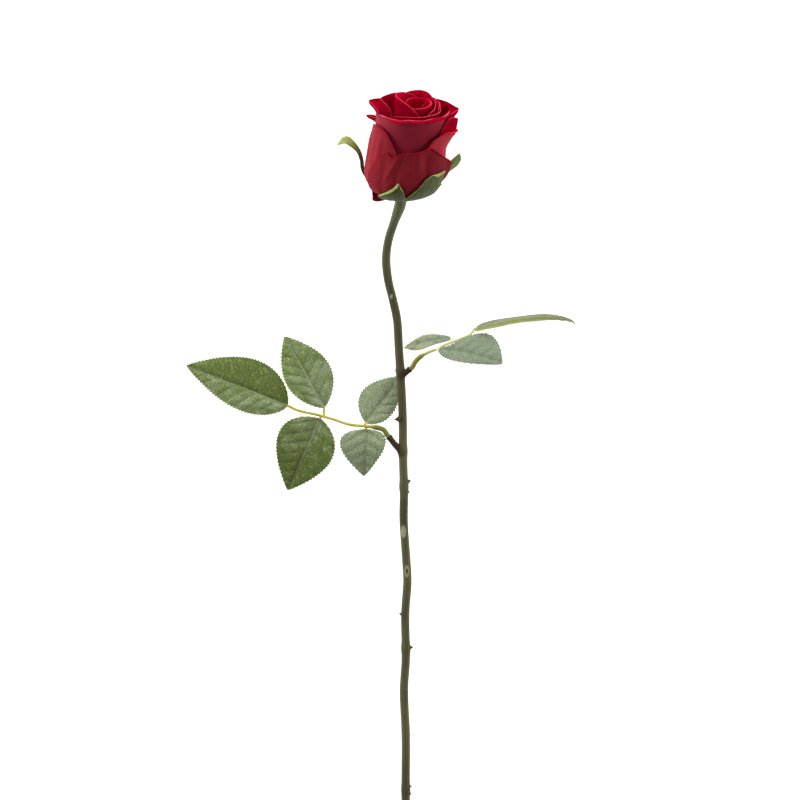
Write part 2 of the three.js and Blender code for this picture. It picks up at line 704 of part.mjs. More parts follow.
const rose = new THREE.Group();
rose.name = "long_stemmed_rose";
rose.add(named("stem", geometryOf(stemSolid), STEM_OLIVE));
rose.add(named("calyx", geometryOf(calyxSolid), SEPAL_GREEN));
rose.add(named("inner_bloom", geometryOf(innerSolid), PETAL_RED));
for (const [name, petal] of Object.entries(OUTER_PETALS))
  rose.add(named(`petal_${name}`, geometryOf(solid(outerPetal(petal))), PETAL_RED));
for (const [side, leaf] of Object.entries(LEAVES)) {
  rose.add(named(`${side}_leaf_stalk`, geometryOf(stalkSolid(leaf, SPURS[side])), STALK_YELLOW));
  for (const [place, blade] of Object.entries(leaf.leaflets)) {
    const made = solid(leaflet(seatOf(leaf, blade), blade));
    rose.add(named(`${side}_leaflet_${place}`, geometryOf(made), LEAF_GREEN));
  }
}

export default rose;
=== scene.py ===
# %% [markdown]
# # A long-stemmed red rose, lying down
#
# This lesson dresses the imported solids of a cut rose, which lies on a pale floor with its stem along Y and is
# seen from straight above. Finer pieces of the same form replace each solid. Lengths are in millimetres
# unless a comment says otherwise, and MM turns them into metres.

# %% Load the frame
import functools
import math

import bpy
import numpy as np
from mathutils import Matrix, Vector, noise


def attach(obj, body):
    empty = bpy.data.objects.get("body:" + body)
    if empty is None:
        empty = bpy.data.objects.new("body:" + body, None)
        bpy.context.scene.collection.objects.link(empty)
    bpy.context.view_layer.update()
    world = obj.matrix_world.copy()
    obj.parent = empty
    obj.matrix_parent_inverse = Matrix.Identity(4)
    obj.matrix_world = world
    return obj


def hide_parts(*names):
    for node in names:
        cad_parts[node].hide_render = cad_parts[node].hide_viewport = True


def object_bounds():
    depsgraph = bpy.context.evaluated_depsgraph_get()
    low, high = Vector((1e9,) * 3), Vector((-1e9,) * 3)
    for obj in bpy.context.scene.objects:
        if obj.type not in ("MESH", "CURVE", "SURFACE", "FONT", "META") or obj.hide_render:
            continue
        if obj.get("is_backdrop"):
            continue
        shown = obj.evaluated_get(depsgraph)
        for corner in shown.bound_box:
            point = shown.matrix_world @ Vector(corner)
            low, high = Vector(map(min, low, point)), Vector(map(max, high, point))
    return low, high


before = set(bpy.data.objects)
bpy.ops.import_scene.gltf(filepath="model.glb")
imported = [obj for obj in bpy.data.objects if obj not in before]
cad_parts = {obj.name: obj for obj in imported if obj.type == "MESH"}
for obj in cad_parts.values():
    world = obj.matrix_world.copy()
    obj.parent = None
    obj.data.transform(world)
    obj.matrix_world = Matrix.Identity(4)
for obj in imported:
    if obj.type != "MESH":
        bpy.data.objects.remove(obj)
cad_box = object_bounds()
MM = 0.001
print("nodes:", ", ".join(sorted(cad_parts)))

# %% [markdown]
# ## The camera
#
# A flower is photographed from far off with a long lens, so that near and far parts keep their true sizes.
# A lens of 600 mm more than eight metres away frames 520 mm of the floor.

# %% Camera
FRAMED_WIDTH = 520
FOCAL_LENGTH = 600
SENSOR_WIDTH = 36
CAMERA_DISTANCE = FRAMED_WIDTH * FOCAL_LENGTH / SENSOR_WIDTH
VIEW_CENTRE = (12.6, 79.25)

bpy.ops.object.camera_add(location=[v * MM for v in (*VIEW_CENTRE, CAMERA_DISTANCE)], rotation=(0, 0, 0))
camera = bpy.context.object
camera.name = "camera"
camera.data.lens = FOCAL_LENGTH
camera.data.sensor_width = SENSOR_WIDTH
bpy.context.scene.camera = camera
print("camera height:", round(CAMERA_DISTANCE), "mm")

# %% [markdown]
# ## Curves through points
#
# A petal's rim, the middle of the stem and the run of a stalk are smooth curves through a few chosen points.
# A centripetal Catmull-Rom curve passes through every point without loops or overshoot.

# %% Curves
SAMPLES_PER_POINT = 40


def curve(points, shares):
    """Points of a centripetal Catmull-Rom curve, at shares from 0 to 1 of its spans."""
    knots = np.asarray(points, float)
    spans = len(knots) - 1
    ends = np.vstack([2 * knots[0] - knots[1], knots, 2 * knots[-1] - knots[-2]])
    place = np.clip(np.atleast_1d(shares) * spans, 0, spans - 1e-9)
    k = place.astype(int)
    t = (place - k)[:, None]
    p0, p1, p2, p3 = (ends[k + i] for i in range(4))
    d0, d1, d2 = (np.sum((q - p) ** 2, 1, keepdims=True) ** 0.25 for p, q in ((p0, p1), (p1, p2), (p2, p3)))
    m1 = ((p1 - p0) / d0 - (p2 - p0) / (d0 + d1) + (p2 - p1) / d1) * d1
    m2 = ((p2 - p1) / d1 - (p3 - p1) / (d1 + d2) + (p3 - p2) / d2) * d1
    return p1 + m1 * t + (3 * (p2 - p1) - 2 * m1 - m2) * t**2 + (2 * (p1 - p2) + m1 + m2) * t**3


def travelled(points):
    """The length from the first row of points to each row, down every column."""
    steps = np.linalg.norm(np.diff(points, axis=0), axis=-1)
    return np.concatenate([np.zeros((1, *steps.shape[1:])), np.cumsum(steps, 0)])


def even_curve(points, count):
    """Count points of that curve, evenly spaced along its length."""
    dense = curve(points, np.linspace(0, 1, SAMPLES_PER_POINT * len(points)))
    run = travelled(dense)
    return np.stack([np.interp(np.linspace(0, run[-1], count), run, dense[:, i]) for i in range(3)], 1)


def smoothstep(x, low, high):
    t = np.clip((x - low) / (high - low), 0, 1)
    return t * t * (3 - 2 * t)


def unit(v):
    return np.asarray(v, float) / np.linalg.norm(v)


print("a curve's middle:", curve([(0, 0), (1, 2), (3, 2)], 0.5).round(2))

# %% [markdown]
# ## Working on one object at a time
#
# An operator acts on all that is selected, and the loaded frame leaves its nodes selected, so each step
# first selects one object alone. A finished piece rides on the frame's one body and stands for its node.


# %% Helpers for pieces
def only(piece):
    bpy.ops.object.select_all(action="DESELECT")
    piece.select_set(True)
    bpy.context.view_layer.objects.active = piece


def apply_modifier(piece, kind, **settings):
    only(piece)
    modifier = piece.modifiers.new(kind.title(), kind)
    for name, value in settings.items():
        setattr(modifier, name, value)
    bpy.ops.object.modifier_apply(modifier=modifier.name)


def smooth(piece, angle=50):
    only(piece)
    bpy.ops.object.shade_smooth_by_angle(angle=math.radians(angle))


def settle(piece, node):
    """The piece rides on the rose and stands for the node."""
    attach(piece, "root")
    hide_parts(node)
    piece.data.name = piece.name
    print(piece.name, len(piece.data.polygons), "faces")


def finish_solid(piece, material, angle, node):
    """Gives the whole piece one material, whatever slots its parts brought along, and settles it."""
    piece.data.materials.clear()
    piece.data.materials.append(material)
    for face in piece.data.polygons:
        face.material_index = 0
    smooth(piece, angle)
    settle(piece, node)


def keep_above(piece, least=0.0):
    """No point of the piece goes below this height over the floor."""
    for vertex in piece.data.vertices:
        vertex.co.z = max(vertex.co.z, least * MM)


def store(piece, key, values):
    """Keeps a value on each point of the piece, for its material to read."""
    piece.data.attributes.new(key, "FLOAT", "POINT").data.foreach_set("value", values.astype(np.float32).ravel())


# %% [markdown]
# ## A blade from a grid
#
# Petals, sepals and leaflets are thin blades. Each starts as the grid primitive, whose points are moved to
# their places, as a sculptor would pull a sheet of clay. Its UV map is in real lengths, so that veins have a
# true scale, and each point stores how near it is to the edge. Solidify gives the blade its thickness, and a
# material to each face and to the rim.

# %% Blades
UV_LENGTH = 100  # a UV of 1 is this long


def blade(name, points, uv, edge, thickness, materials, tint=None):
    """A thin closed piece round a grid of points: rows run along it, and columns across, left to right."""
    rows, columns = points.shape[:2]
    bpy.ops.mesh.primitive_grid_add(x_subdivisions=columns - 1, y_subdivisions=rows - 1, size=1)
    piece = bpy.context.object
    piece.name = name
    mesh = piece.data
    mesh.vertices.foreach_set("co", (points * MM).astype(np.float32).ravel())
    corners = np.zeros(len(mesh.loops), int)
    mesh.loops.foreach_get("vertex_index", corners)
    flat = (uv.reshape(-1, 2)[corners] / UV_LENGTH).astype(np.float32)
    mesh.uv_layers.active.data.foreach_set("uv", flat.ravel())
    store(piece, "edge", edge)
    if tint is not None:
        store(piece, "tint", tint)
    mesh.update()
    for material in materials:
        mesh.materials.append(material)
    apply_modifier(piece, "SOLIDIFY", thickness=thickness * MM, offset=0, material_offset=1, material_offset_rim=2)
    keep_above(piece)
    smooth(piece)
    return piece


def edge_nearness(points, reach):
    """How near each point of a grid is to its sides and tip, from 0 at reach to 1 at the edge itself."""
    to_tip = travelled(points[::-1])[::-1]
    to_left = travelled(points.swapaxes(0, 1)).T
    to_right = to_left[:, -1:] - to_left
    return np.clip(1 - np.minimum(np.minimum(to_left, to_right), to_tip) / reach, 0, 1)


def rumple(points, size, amount, seed):
    """Smooth, uneven values over the points, because no blade is quite true. They are the same on each run."""
    offset = Vector((seed * 7.3, seed * 3.1, seed * 1.7))
    values = [noise.noise(Vector(p) + offset) for p in points.reshape(-1, 3) / size]
    return amount * np.array(values).reshape(points.shape[:2])


# %% [markdown]
# ## Colours and nodes
#
# Colours are picked as sRGB hex values and shaders work in linear light, so one function turns the one into
# the other. One small function adds a node.

# %% Colour and node helpers
# Kinds of node, each with a setting and its value.
PLUS, MINUS, TIMES, OVER = ("Math operation " + name for name in ("ADD", "SUBTRACT", "MULTIPLY", "DIVIDE"))
RAMP = "MapRange interpolation_type SMOOTHSTEP"
MIX = "Mix data_type RGBA"
MARK = "Attribute attribute_name "  # and what store() called the value


def linear(hex_colour):
    channels = [int(hex_colour[i : i + 2], 16) / 255 for i in (1, 3, 5)]
    return (*[c / 12.92 if c <= 0.04045 else ((c + 0.055) / 1.055) ** 2.4 for c in channels], 1.0)


def fill(socket, value):
    """Gives an input its value: a number, a hex colour, or the output of another node, which is linked."""
    if isinstance(value, bpy.types.NodeSocket):
        socket.id_data.links.new(value, socket)
    else:
        socket.default_value = linear(value) if isinstance(value, str) else value


def add_node(tree, kind, *values, output=None, **inputs):
    """Adds one node, and returns the output that is asked for, or else its first open one.

    Kind may bring a setting with its value. Values fill the open inputs in turn, and inputs are named.
    """
    kind, *setting = kind.split()
    made = tree.nodes.new("ShaderNode" + kind)
    if setting:
        setattr(made, *setting)
    for socket, value in zip([socket for socket in made.inputs if socket.enabled], values):
        fill(socket, value)
    for name, value in inputs.items():
        fill(made.inputs[name], value)
    return made.outputs[output] if output else next(socket for socket in made.outputs if socket.enabled)


def new_material(name, **sockets):
    """A material, the inputs of its Principled shader, filled by name, and a function that adds nodes to it."""
    material = bpy.data.materials.new(name)
    material.use_nodes = True
    shader = material.node_tree.nodes["Principled BSDF"].inputs
    for socket, value in sockets.items():
        fill(shader[socket.replace("_", " ")], value)
    return material, shader, functools.partial(add_node, material.node_tree)


print("petal red in linear light:", [round(c, 3) for c in linear("#a63945")[:3]])

# %% [markdown]
# ## Petal cloth
#
# A rose petal is velvety: tiny cones on it catch light at a glancing angle, which sheen gives in the shader.
# The outer face is duller and dustier than the inner one, and the cut rim is paler. A paler red is mixed
# in by each petal's tint, most towards the bloom's sides: partly that duller outer tone, partly a painted
# sheen of velvet seen at a slant. Veins run from root to rim, drawn coarser than real ones so that they show.

# %% Petal materials
VEIN_SPACING = 0.9
VEIN_LENGTH = 14


def petal_material(name, deep, light, dust_and_sheen, band, rim, gloss=0.0, sheen=0.0):
    """Velvety petal: veined in deep and light, with a paler red mixed in by its tint, partly its dull outer tone and
    partly painted sheen, and with a band of colour and a rim at its edge.
    """
    material, shader, add = new_material(name, Roughness=0.6, Sheen_Weight=sheen, Specular_IOR_Level=gloss)
    run = add("Mapping", add("UVMap"), Scale=(UV_LENGTH / VEIN_SPACING, UV_LENGTH / VEIN_LENGTH, 1))
    veins = add("TexNoise", run, Scale=1, Detail=3)
    cloud = add("TexNoise", add("TexCoord", output="Object"), Scale=90, Detail=2)  # patches of 11 mm
    mixed = add(PLUS, add(TIMES, veins, 0.5), cloud)
    colour = add(MIX, add(RAMP, mixed, 0.375, 1.125), deep, light)
    # Partly painted sheen: the tint mixes in the paler red, most at the bloom's sides.
    colour = add(MIX, add(MARK + "tint", output="Fac"), colour, dust_and_sheen)
    near = add(MARK + "edge", output="Fac")
    colour = add(MIX, add(RAMP, near, 0.1, 0.8, 0, 0.75), colour, band)
    colour = add(MIX, add(RAMP, near, 0.8, 1, 0, 0.6), colour, rim)
    fill(shader["Base Color"], colour)
    fill(shader["Normal"], add("Bump", Height=veins, Strength=0.25, Distance=0.12 * MM))
    return material


DUSTY_OUTER = petal_material(
    "petal velvet, dusty outer face", "#68151f", "#7c1c27", "#ac2f3b", "#8e1024", "#9c1c2e", gloss=0.02, sheen=0.01,
)
DARK_OUTER = petal_material(
    "petal velvet, shaded outer face", "#6a0d1e", "#7e1525", "#a83244", "#8c0c20", "#a81026", gloss=0.04,
)
RICH_INNER = petal_material("petal velvet, rich inner face", "#b80024", "#d00434", "#d8183a", "#d40030", "#e02c50")
# The outer face of the inner petals is darker than their inner face: partly its own tone, partly painted shade,
# since these faces stand in the bloom's shade.
RICH_OUTER = petal_material("petal velvet, rich outer face", "#7a0018", "#940420", "#b81830", "#a00422", "#cc2844")
# The rolled lip is the rich inner face painted darker, as painted shade, and its pale rim colour paints the
# highlight along the crest.
LIP_INNER = petal_material("petal velvet, rolled lip", "#7e0014", "#8a0019", "#b81830", "#8c0018", "#e06072")
DULL_RIM = petal_material("petal velvet, dull cut rim", "#8c1026", "#a01830", "#a8283a", "#8c1026", "#a4203a")
PALE_RIM = petal_material("petal velvet, cut rim", "#b00a28", "#c01434", "#cc2c44", "#c01434", "#d04058")
OUTER_MATERIALS = [DUSTY_OUTER, RICH_INNER, DULL_RIM]
CUP_MATERIALS = [DARK_OUTER, LIP_INNER, LIP_INNER]
INNER_MATERIALS = [RICH_OUTER, RICH_INNER, PALE_RIM]

# %% [markdown]
# ## The bloom's own frame
#
# The bloom leans: its axis rises 20 degrees from the floor, and its petals drift a little to the right as
# they go up. So petals are worked out upright, round a vertical axis, and one matrix lays them down.

# %% Bloom frame
BLOOM_BASE = (13.4, 213, 19)
BLOOM_TILT = math.radians(20)
BLOOM_SQUAT = 0.96
BLOOM_DRIFT = 0.11
BELLY_RADIUS = 26.9
BELLY_HEIGHT = 19
BOWL_SQUARENESS = 2.6
MOUTH_NARROWING = 1.8
MOUTH_HEIGHT = 55
LAYER = 1.3
PETAL_THICKNESS = 0.55
PETAL_ROOT = 5.5
LIP_RADIUS = 1.8
LIP_LEAST = 0.3

drift = Matrix.Identity(4)
drift[0][2] = BLOOM_DRIFT
bloom_frame = (
    Matrix.Translation(BLOOM_BASE)
    @ Matrix.Rotation(BLOOM_TILT - math.pi / 2, 4, "X")
    @ Matrix.Diagonal((1, 1, BLOOM_SQUAT, 1))
    @ drift
)
BLOOM_MATRIX = np.array(bloom_frame)


def bloom_points(azimuth, radius, height, shift=0.0):
    """Points of the upright bloom, laid down. Azimuth 0 faces the camera and 90 is the bloom's right side."""
    turn = np.radians(azimuth)
    upright = np.stack(np.broadcast_arrays(radius * np.sin(turn) + shift, -radius * np.cos(turn), height), -1)
    return upright @ BLOOM_MATRIX[:3, :3].T + BLOOM_MATRIX[:3, 3]


print("bloom mouth at:", bloom_points(0, 0, MOUTH_HEIGHT).round(1))

# %% [markdown]
# ## Outer petals
#
# The five outer petals share one bowl: each leaves the calyx near the axis, swells out to the belly and
# climbs a wall that closes in a little. Their rims set them apart. A rim is a curve through points of
# azimuth, height, how far it stands out, and how far its lip rolls over, in degrees. Soft creases run up
# from the root, and a little rumpling leaves no highlight straight.

# %% Rim, bowl, creases and lip
ROWS_BOWL, ROWS_WALL, ROWS_LIP, PETAL_COLUMNS = 22, 26, 9, 80
BOWL_BOTTOM = 0.7
STAND_OUT_LENGTH = 12
CREASE_FADE = 4
FREE_RADIUS = 16  # creases and rumples are full from here out
EDGE_REACH = 3.6
ROOT_BAND = (3, 14)
UV_RADIUS = 20


def padded(points, width):
    """Points as rows of one width, with 0 for each value left out."""
    return np.array([[*p, *[0] * (width - len(p))] for p in points], float)


def rim_of(points, columns):
    full, shares = padded(points, 4), np.linspace(0, 1, columns)
    azimuth, height, out = curve(full[:, :3], shares).T
    roll = np.radians(np.interp(shares, np.linspace(0, 1, len(full)), full[:, 3]))
    return azimuth, height, out, roll


def bowl(layer, share):
    belly = BELLY_RADIUS - layer * LAYER
    bottom = BOWL_BOTTOM + layer * LAYER
    power = 2 / BOWL_SQUARENESS
    start = math.asin((PETAL_ROOT / belly) ** (1 / power))
    turn = start + (math.pi / 2 - start) * share
    fall = np.maximum(np.cos(turn), 0) ** power
    return belly * np.sin(turn) ** power, bottom + (BELLY_HEIGHT - bottom) * (1 - fall), turn


def wall_radius(layer, height):
    share = (height - BELLY_HEIGHT) / (MOUTH_HEIGHT - BELLY_HEIGHT)
    return BELLY_RADIUS - layer * LAYER - MOUTH_NARROWING * share**2


def creased(azimuth, height, creases):
    """Each crease is a soft fold: azimuth, lean in degrees per mm, width in degrees, depth, low and high end."""
    total = np.zeros(height.shape)
    for centre, lean, width, depth, low, high in creases:
        fold = np.exp(-(((azimuth - centre - lean * (height - low)) / width) ** 2))
        begun = smoothstep(height, low - CREASE_FADE, low + CREASE_FADE)
        ended = smoothstep(height, high - CREASE_FADE, high + CREASE_FADE)
        total += depth * fold * begun * (1 - ended)
    return total


def with_lip(azimuth, radius, height, shift, roll, lowest):
    """Adds the rolled lip above the last row of a petal's upright rows, and lays the petal down."""
    t = np.linspace(0, 1, ROWS_LIP + 1)[1:, None]
    rise = LIP_RADIUS * np.sin(np.maximum(roll * t, LIP_LEAST * t))
    radius = np.vstack([radius, radius[-1] + LIP_RADIUS * (1 - np.cos(roll * t))])
    height = np.vstack([height, height[-1] + rise])
    shift = np.vstack([shift, shift[-1] + 0 * rise])
    points = bloom_points(azimuth, radius, height, shift)
    points[..., 2] = np.maximum(points[..., 2], lowest)
    return points


def petal_blade(name, node, azimuth, points, edge, materials, tint=(0, 0)):
    """Tint is how much paler red is mixed in at the petal's left and right side, partly its dull outer tone and
    partly painted sheen.
    """
    tints = np.broadcast_to(np.linspace(*tint, len(azimuth)), edge.shape)
    uv = np.stack([np.broadcast_to(np.radians(azimuth) * UV_RADIUS, edge.shape), travelled(points)], -1)
    settle(blade(name, points, uv, edge, PETAL_THICKNESS, materials, tints), node)


# %% Outer petals
def outer_petal(name, layer, rim, seed, tint, creases=()):
    """The layer counts inwards from the outermost petals."""
    azimuth, top, out, roll = rim_of(rim, PETAL_COLUMNS)
    low_radius, low_height, _ = bowl(layer, np.linspace(0, 1, ROWS_BOWL)[:, None] * np.ones(PETAL_COLUMNS))
    high_height = BELLY_HEIGHT + (top - BELLY_HEIGHT) * np.linspace(0, 1, ROWS_WALL + 1)[1:, None]
    height = np.vstack([low_height, high_height])
    radius = np.vstack([low_radius, wall_radius(layer, high_height)])
    radius = radius + out * smoothstep(height, top - STAND_OUT_LENGTH, top)
    radius = radius + creased(azimuth, height, creases) * smoothstep(radius, PETAL_ROOT, FREE_RADIUS)
    rumples = rumple(bloom_points(azimuth, radius, height), 11, 0.35, seed)
    radius = radius + rumples * smoothstep(radius, PETAL_ROOT, FREE_RADIUS)
    points = with_lip(azimuth, radius, height, 0 * height, roll, layer * LAYER + PETAL_THICKNESS / 2)
    edge = edge_nearness(points, EDGE_REACH)
    rooted = 0.7 * (1 - smoothstep(height, *ROOT_BAND))
    edge[: len(height)] = np.maximum(edge[: len(height)], rooted)
    petal_blade(f"petal_{name}_blade", f"petal_{name}", azimuth, points, edge, OUTER_MATERIALS, tint)

OUTER_PETALS = {
    "front": dict(layer=0, seed=2, tint=(0.45, 0), rim=[
        (-60, 20.5), (-57, 22), (-50, 28), (-42, 33), (-31, 37), (-23, 34), (-16, 35.4), (-9, 37.4),
        (4, 37.8), (16, 38.2, 0, 15), (26, 38.6, 0.2, 30), (32, 39.4, 0.4, 50), (38, 37.6, 0.6, 70),
        (46, 34.2, 0.8, 80), (56, 30.6, 1, 70), (68, 26.6, 1.8, 80), (80, 21.6, 3.4, 60), (87, 20.2, 1.6, 20),
        (91, 20)],
        creases=[(-26, 0.9, 3.5, 0.9, 20, 40), (-33, 0.1, 5, -0.7, 8, 34), (-14, 0.25, 4, -0.8, 12, 34),
                 (8, -0.1, 3, 0.8, 22, 48), (18, -0.15, 3, 0.7, 26, 48), (34, -0.3, 6, -0.9, 14, 36)]),
    "left": dict(layer=1, seed=3, tint=(0.8, 0.3), rim=[
        (-146, 25), (-130, 38), (-110, 45.6, -0.6), (-90, 49.4, -1, 10), (-74, 51.2, -0.8, 20),
        (-62, 51.9, -0.4, 25), (-52, 51.6, -0.2, 30), (-39, 49.2, 0, 30), (-31.6, 45.9, 0, 25),
        (-22.7, 40.4, 0, 15), (-16, 35.8, 0, 10), (-8, 27)],
        creases=[(-50, 0.1, 5, 0.8, 14, 46), (-74, 0, 7, -0.7, 12, 44)]),
    "right": dict(layer=1, seed=4, tint=(0.6, 1), rim=[
        (22, 24), (29, 37, 0, 20), (38, 43, 0.2, 40), (51, 45, 0.4, 80), (62, 46, 0.8, 120),
        (75, 44.6, 1.8, 140), (90, 43.4, 4.2, 130), (101, 43, 4.5, 60), (116, 44, 2, 10), (136, 40), (147, 28)],
        creases=[(48, 0, 6, -0.5, 14, 40)]),
    "under_left": dict(layer=2, seed=5, tint=(0.3, 0.3), rim=[
        (-216, 24), (-200, 42), (-180, 48, 0, 20), (-158, 48.5, 0, 10), (-134, 44), (-114, 38), (-98, 31),
        (-92, 24)]),
    "under_right": dict(layer=0, seed=6, tint=(0.5, 0.3), rim=[
        (106, 21), (114, 29), (130, 37, 0, 10), (152, 43, 0.4, 20), (176, 44, 0.6, 30), (194, 40, 0.4, 20),
        (207, 31), (213, 21)]),
}
for name, shape in OUTER_PETALS.items():
    outer_petal(name, **shape)


# %% [markdown]
# Under the left petal a loose lobe hangs down past the bowl. It is a blade between an inner circle and an
# outer curve through points of azimuth, radius and height.

# %% Lobe
LOBE_EDGE = [
    (-108, 23.4, 12.6), (-100, 22.3, 8.8), (-92, 20.2, 5.4), (-80, 19.4, 2.4), (-72, 19.6, 0.2), (-64, 20.4, -1.2),
    (-54, 18.4, -1.4), (-42, 12, 0),
]
LOBE_INNER = (8, 1.2)
LOBE_ROWS, LOBE_COLUMNS = 16, 48

azimuth, radius, height = curve(LOBE_EDGE, np.linspace(0, 1, LOBE_COLUMNS)).T
t = np.linspace(0, 1, LOBE_ROWS)[:, None]
lobe_points = bloom_points(
    azimuth, LOBE_INNER[0] + (radius - LOBE_INNER[0]) * t,
    LOBE_INNER[1] + (height - LOBE_INNER[1]) * t**1.3 - 0.5 * np.sin(math.pi * t),
)
lobe_edge = edge_nearness(lobe_points, EDGE_REACH)
petal_blade("petal_left_lobe", "petal_left", azimuth, lobe_points, lobe_edge, [DARK_OUTER] * 3)

# %% [markdown]
# ## Inner petals
#
# Inside the outer five, the petals stand in a spiral, each a shallow cup inside the last. Only their upper
# parts show, so each leaves the imported core part way up, and towards the heart they crowd to one side. The
# front one is the broad cup whose lip rolls right over, with a pale painted highlight along its crest.

# %% Inner petal shapes
HEART_SHIFT = 5.8
HEART_HEIGHT = 64
INNER_RADIUS = 21.4
OPENING = (38, 60)
INNER_ROWS, INNER_COLUMNS = 30, 72
INNER_LOWEST = 3 * LAYER
CREST_ANGLE = 1.5
# Belly and mouth radius, height of its start, flare, what else sets it apart, and rim.
INNER_PETALS = [
    (21.6, 21.6, 16, 5, {}, [
        (-128, 40), (-114, 50), (-104, 53.6, 2.2), (-95, 54.9, 7.2), (-86, 55, 2.6), (-76, 54.4), (-58, 51),
        (-44, 44), (-36, 36)]),
    (21.2, 22.8, 16, 12, dict(crest=True, tint=(0.9, 0)), [
        (-92, 56.8, -0.4, 20), (-80, 58.2, 0, 30), (-62, 59.2, 0, 60), (-44, 59.2, 0.1, 110), (-30, 58.9, 0.3, 165),
        (-16, 58.8, 0.5, 185), (-4, 59.2, 0.2, 165), (8, 58.8, 0.5, 180), (20, 58.4, 0.2, 150), (32, 58.9, 0.3, 180),
        (46, 58.6, 0, 185), (60, 57.8, 0.2, 140), (76, 57.8, 0.4, 90), (88, 59.2, 1.6, 40), (98, 60.4, 1.8, 20),
        (108, 60.2, 0.8, 10), (118, 56)]),
    (21.2, 22.4, 18, 14, {}, [
        (76, 50), (86, 54.6, 1), (95, 57.2, 6), (101, 58, 9), (108, 59, 6.8, 15), (124, 60.4, 3.4, 25),
        (146, 60.8, 0.5, 20), (164, 58), (174, 50)]),
    (19.4, 19.6, 18, 10, {}, [
        (-139, 50), (-133, 55.5), (-127, 60, 1), (-121, 63, 3.4, 15), (-111, 64, 7, 10), (-104, 63.5, 9.6),
        (-98, 62.6, 7), (-90, 59.5, 3.4), (-80, 55, 1), (-70, 50)]),
    (20.4, 20.6, 22, 14, {}, [
        (-190, 50), (-176, 59), (-158, 64, 0, 30), (-142, 65.4, 0, 30), (-128, 65.8, 0, 20), (-114, 66.2),
        (-104, 66.4, 0.4), (-97, 66.4, 0.6), (-91, 65.8, -0.8), (-85, 64.6, -2.6), (-79, 63, -4.4), (-73, 60.8, -6),
        (-66, 56, -7)]),
    (17.4, 18.6, 22, 14, {}, [
        (88, 50), (98, 56.6, -1, 10), (112, 60.4, 0, 25), (132, 62.2, 0.4, 40), (152, 63.4, 0, 30), (174, 60),
        (188, 52)]),
    (17, 17.6, 26, 14, {}, [
        (-80, 50), (-68, 55.4), (-58, 58), (-40, 59.4), (-20, 60.2, 0, 10), (0, 60.3, 0, 10), (17, 60.1, 0, 15),
        (36, 59.7, 0, 30), (53, 59.3, 0, 40), (73, 59.4, 0.2, 40), (90, 60.2, -0.6, 20), (106, 59, -1.4),
        (118, 53)]),
    (13.8, 14.4, 32, 14, {}, [
        (104, 55), (113, 60), (120, 61.8), (126, 64), (141, 66.6, 0, 20), (158, 67.8, 0, 30), (180, 68, 0, 30),
        (206, 67.2, 0, 20), (222, 64.5), (242, 57)]),
    (13.6, 13.2, 32, 22, {}, [
        (-212, 60, -4), (-186, 64, -1.6), (-160, 67, -0.4), (-134, 68.8, 0.2, 10), (-108, 69.8, 0.4, 15),
        (-82, 69.8, 0.2, 15), (-64, 69.8, 0.2, 15), (-44, 69, 0.2, 15), (-22, 66.8, 0.2, 10), (-6, 64, 0, 10),
        (10, 60.2), (24, 56.5), (38, 50)]),
    (12, 12.8, 36, 16, {}, [
        (26, 50), (38, 57.6), (50, 60.4), (75, 61.2, 0, 10), (90, 63.4, 0, 20), (106, 65, 0, 20), (130, 65.2, -0.6),
        (150, 61)]),
    (9.2, 9.2, 36, 20, dict(aside=-0.8), [
        (-100, 63.4, -1), (-60, 63.8, -0.2, 10), (-20, 63.3, 0, 15), (24, 63.2, 0, 20), (64, 63.8, 0.2, 20),
        (100, 64.8, 0.2, 30), (140, 65.2, 0, 20), (186, 65, -0.2, 15), (226, 64.2, -0.8), (252, 61, -2)]),
    (4.2, 4.4, 40, 14, dict(aside=3.6), [
        (-10, 54), (30, 60.6, 0, 10), (74, 63.6, 0, 25), (120, 64.6, -0.4, 25), (170, 63.4, -1), (214, 59, -1.6)]),
    (15.6, 16, 30, 14, {}, [
        (60, 48), (74, 56), (84, 60.4, 0, 10), (96, 61.8, 0.4, 25), (112, 62.6, 0.2, 30),
        (128, 61, -0.4), (140, 55)]),
    (23.4, 24, 16, 19, dict(stay=9), [
        (48, 38), (55, 43.5), (61, 48), (67, 50.4, 0.2), (73, 52.8, 0.6), (78, 55, 2), (84, 55, 4),
        (90, 53.8, 5.8), (96, 51.8, 7.2), (103, 49.8, 6.8), (111, 47.4, 4), (122, 43, 1)]),
]


# %% Inner petals
def inner_petal(number, belly, mouth, start, flare, rim, stay=0, tint=(0, 0), crest=False, aside=0):
    """Between flare and stay below its rim, the petal comes to stand out as its rim says."""
    azimuth, top, out, roll = rim_of(rim, INNER_COLUMNS)
    height = start + (top - start) * np.linspace(0, 1, INNER_ROWS)[:, None]
    radius = belly + (mouth - belly) * smoothstep(height, *OPENING)
    radius = radius + out * smoothstep(height, top - flare, top - stay)
    shift = HEART_SHIFT * height / HEART_HEIGHT * max(0, 1 - belly / INNER_RADIUS) + aside
    radius = radius + rumple(bloom_points(azimuth, radius, height, shift), 8, 0.3, 20 + number)
    points = with_lip(azimuth, radius, height, shift, roll, INNER_LOWEST)
    edge = edge_nearness(points, EDGE_REACH)
    # Painted highlight: a pale, uneven line along the crest of the rolled lip, drawn through the edge value in the
    # lip's rim colour.
    if crest:
        angle = roll * np.clip((np.arange(len(points))[:, None] + 1 - INNER_ROWS) / ROWS_LIP, 0, 1)
        crest_highlight = 1 + rumple(points, 6, 0.7, 40)
        edge = 0.6 * edge + crest_highlight * np.exp(-(((angle - CREST_ANGLE) / 0.3) ** 2))
    name, materials = f"inner_petal_{number:02d}", CUP_MATERIALS if crest else INNER_MATERIALS
    petal_blade(name, "inner_bloom", azimuth, points, edge, materials, tint)


for number, (*form, others, rim) in enumerate(INNER_PETALS, 1):
    inner_petal(number, *form, rim, **others)


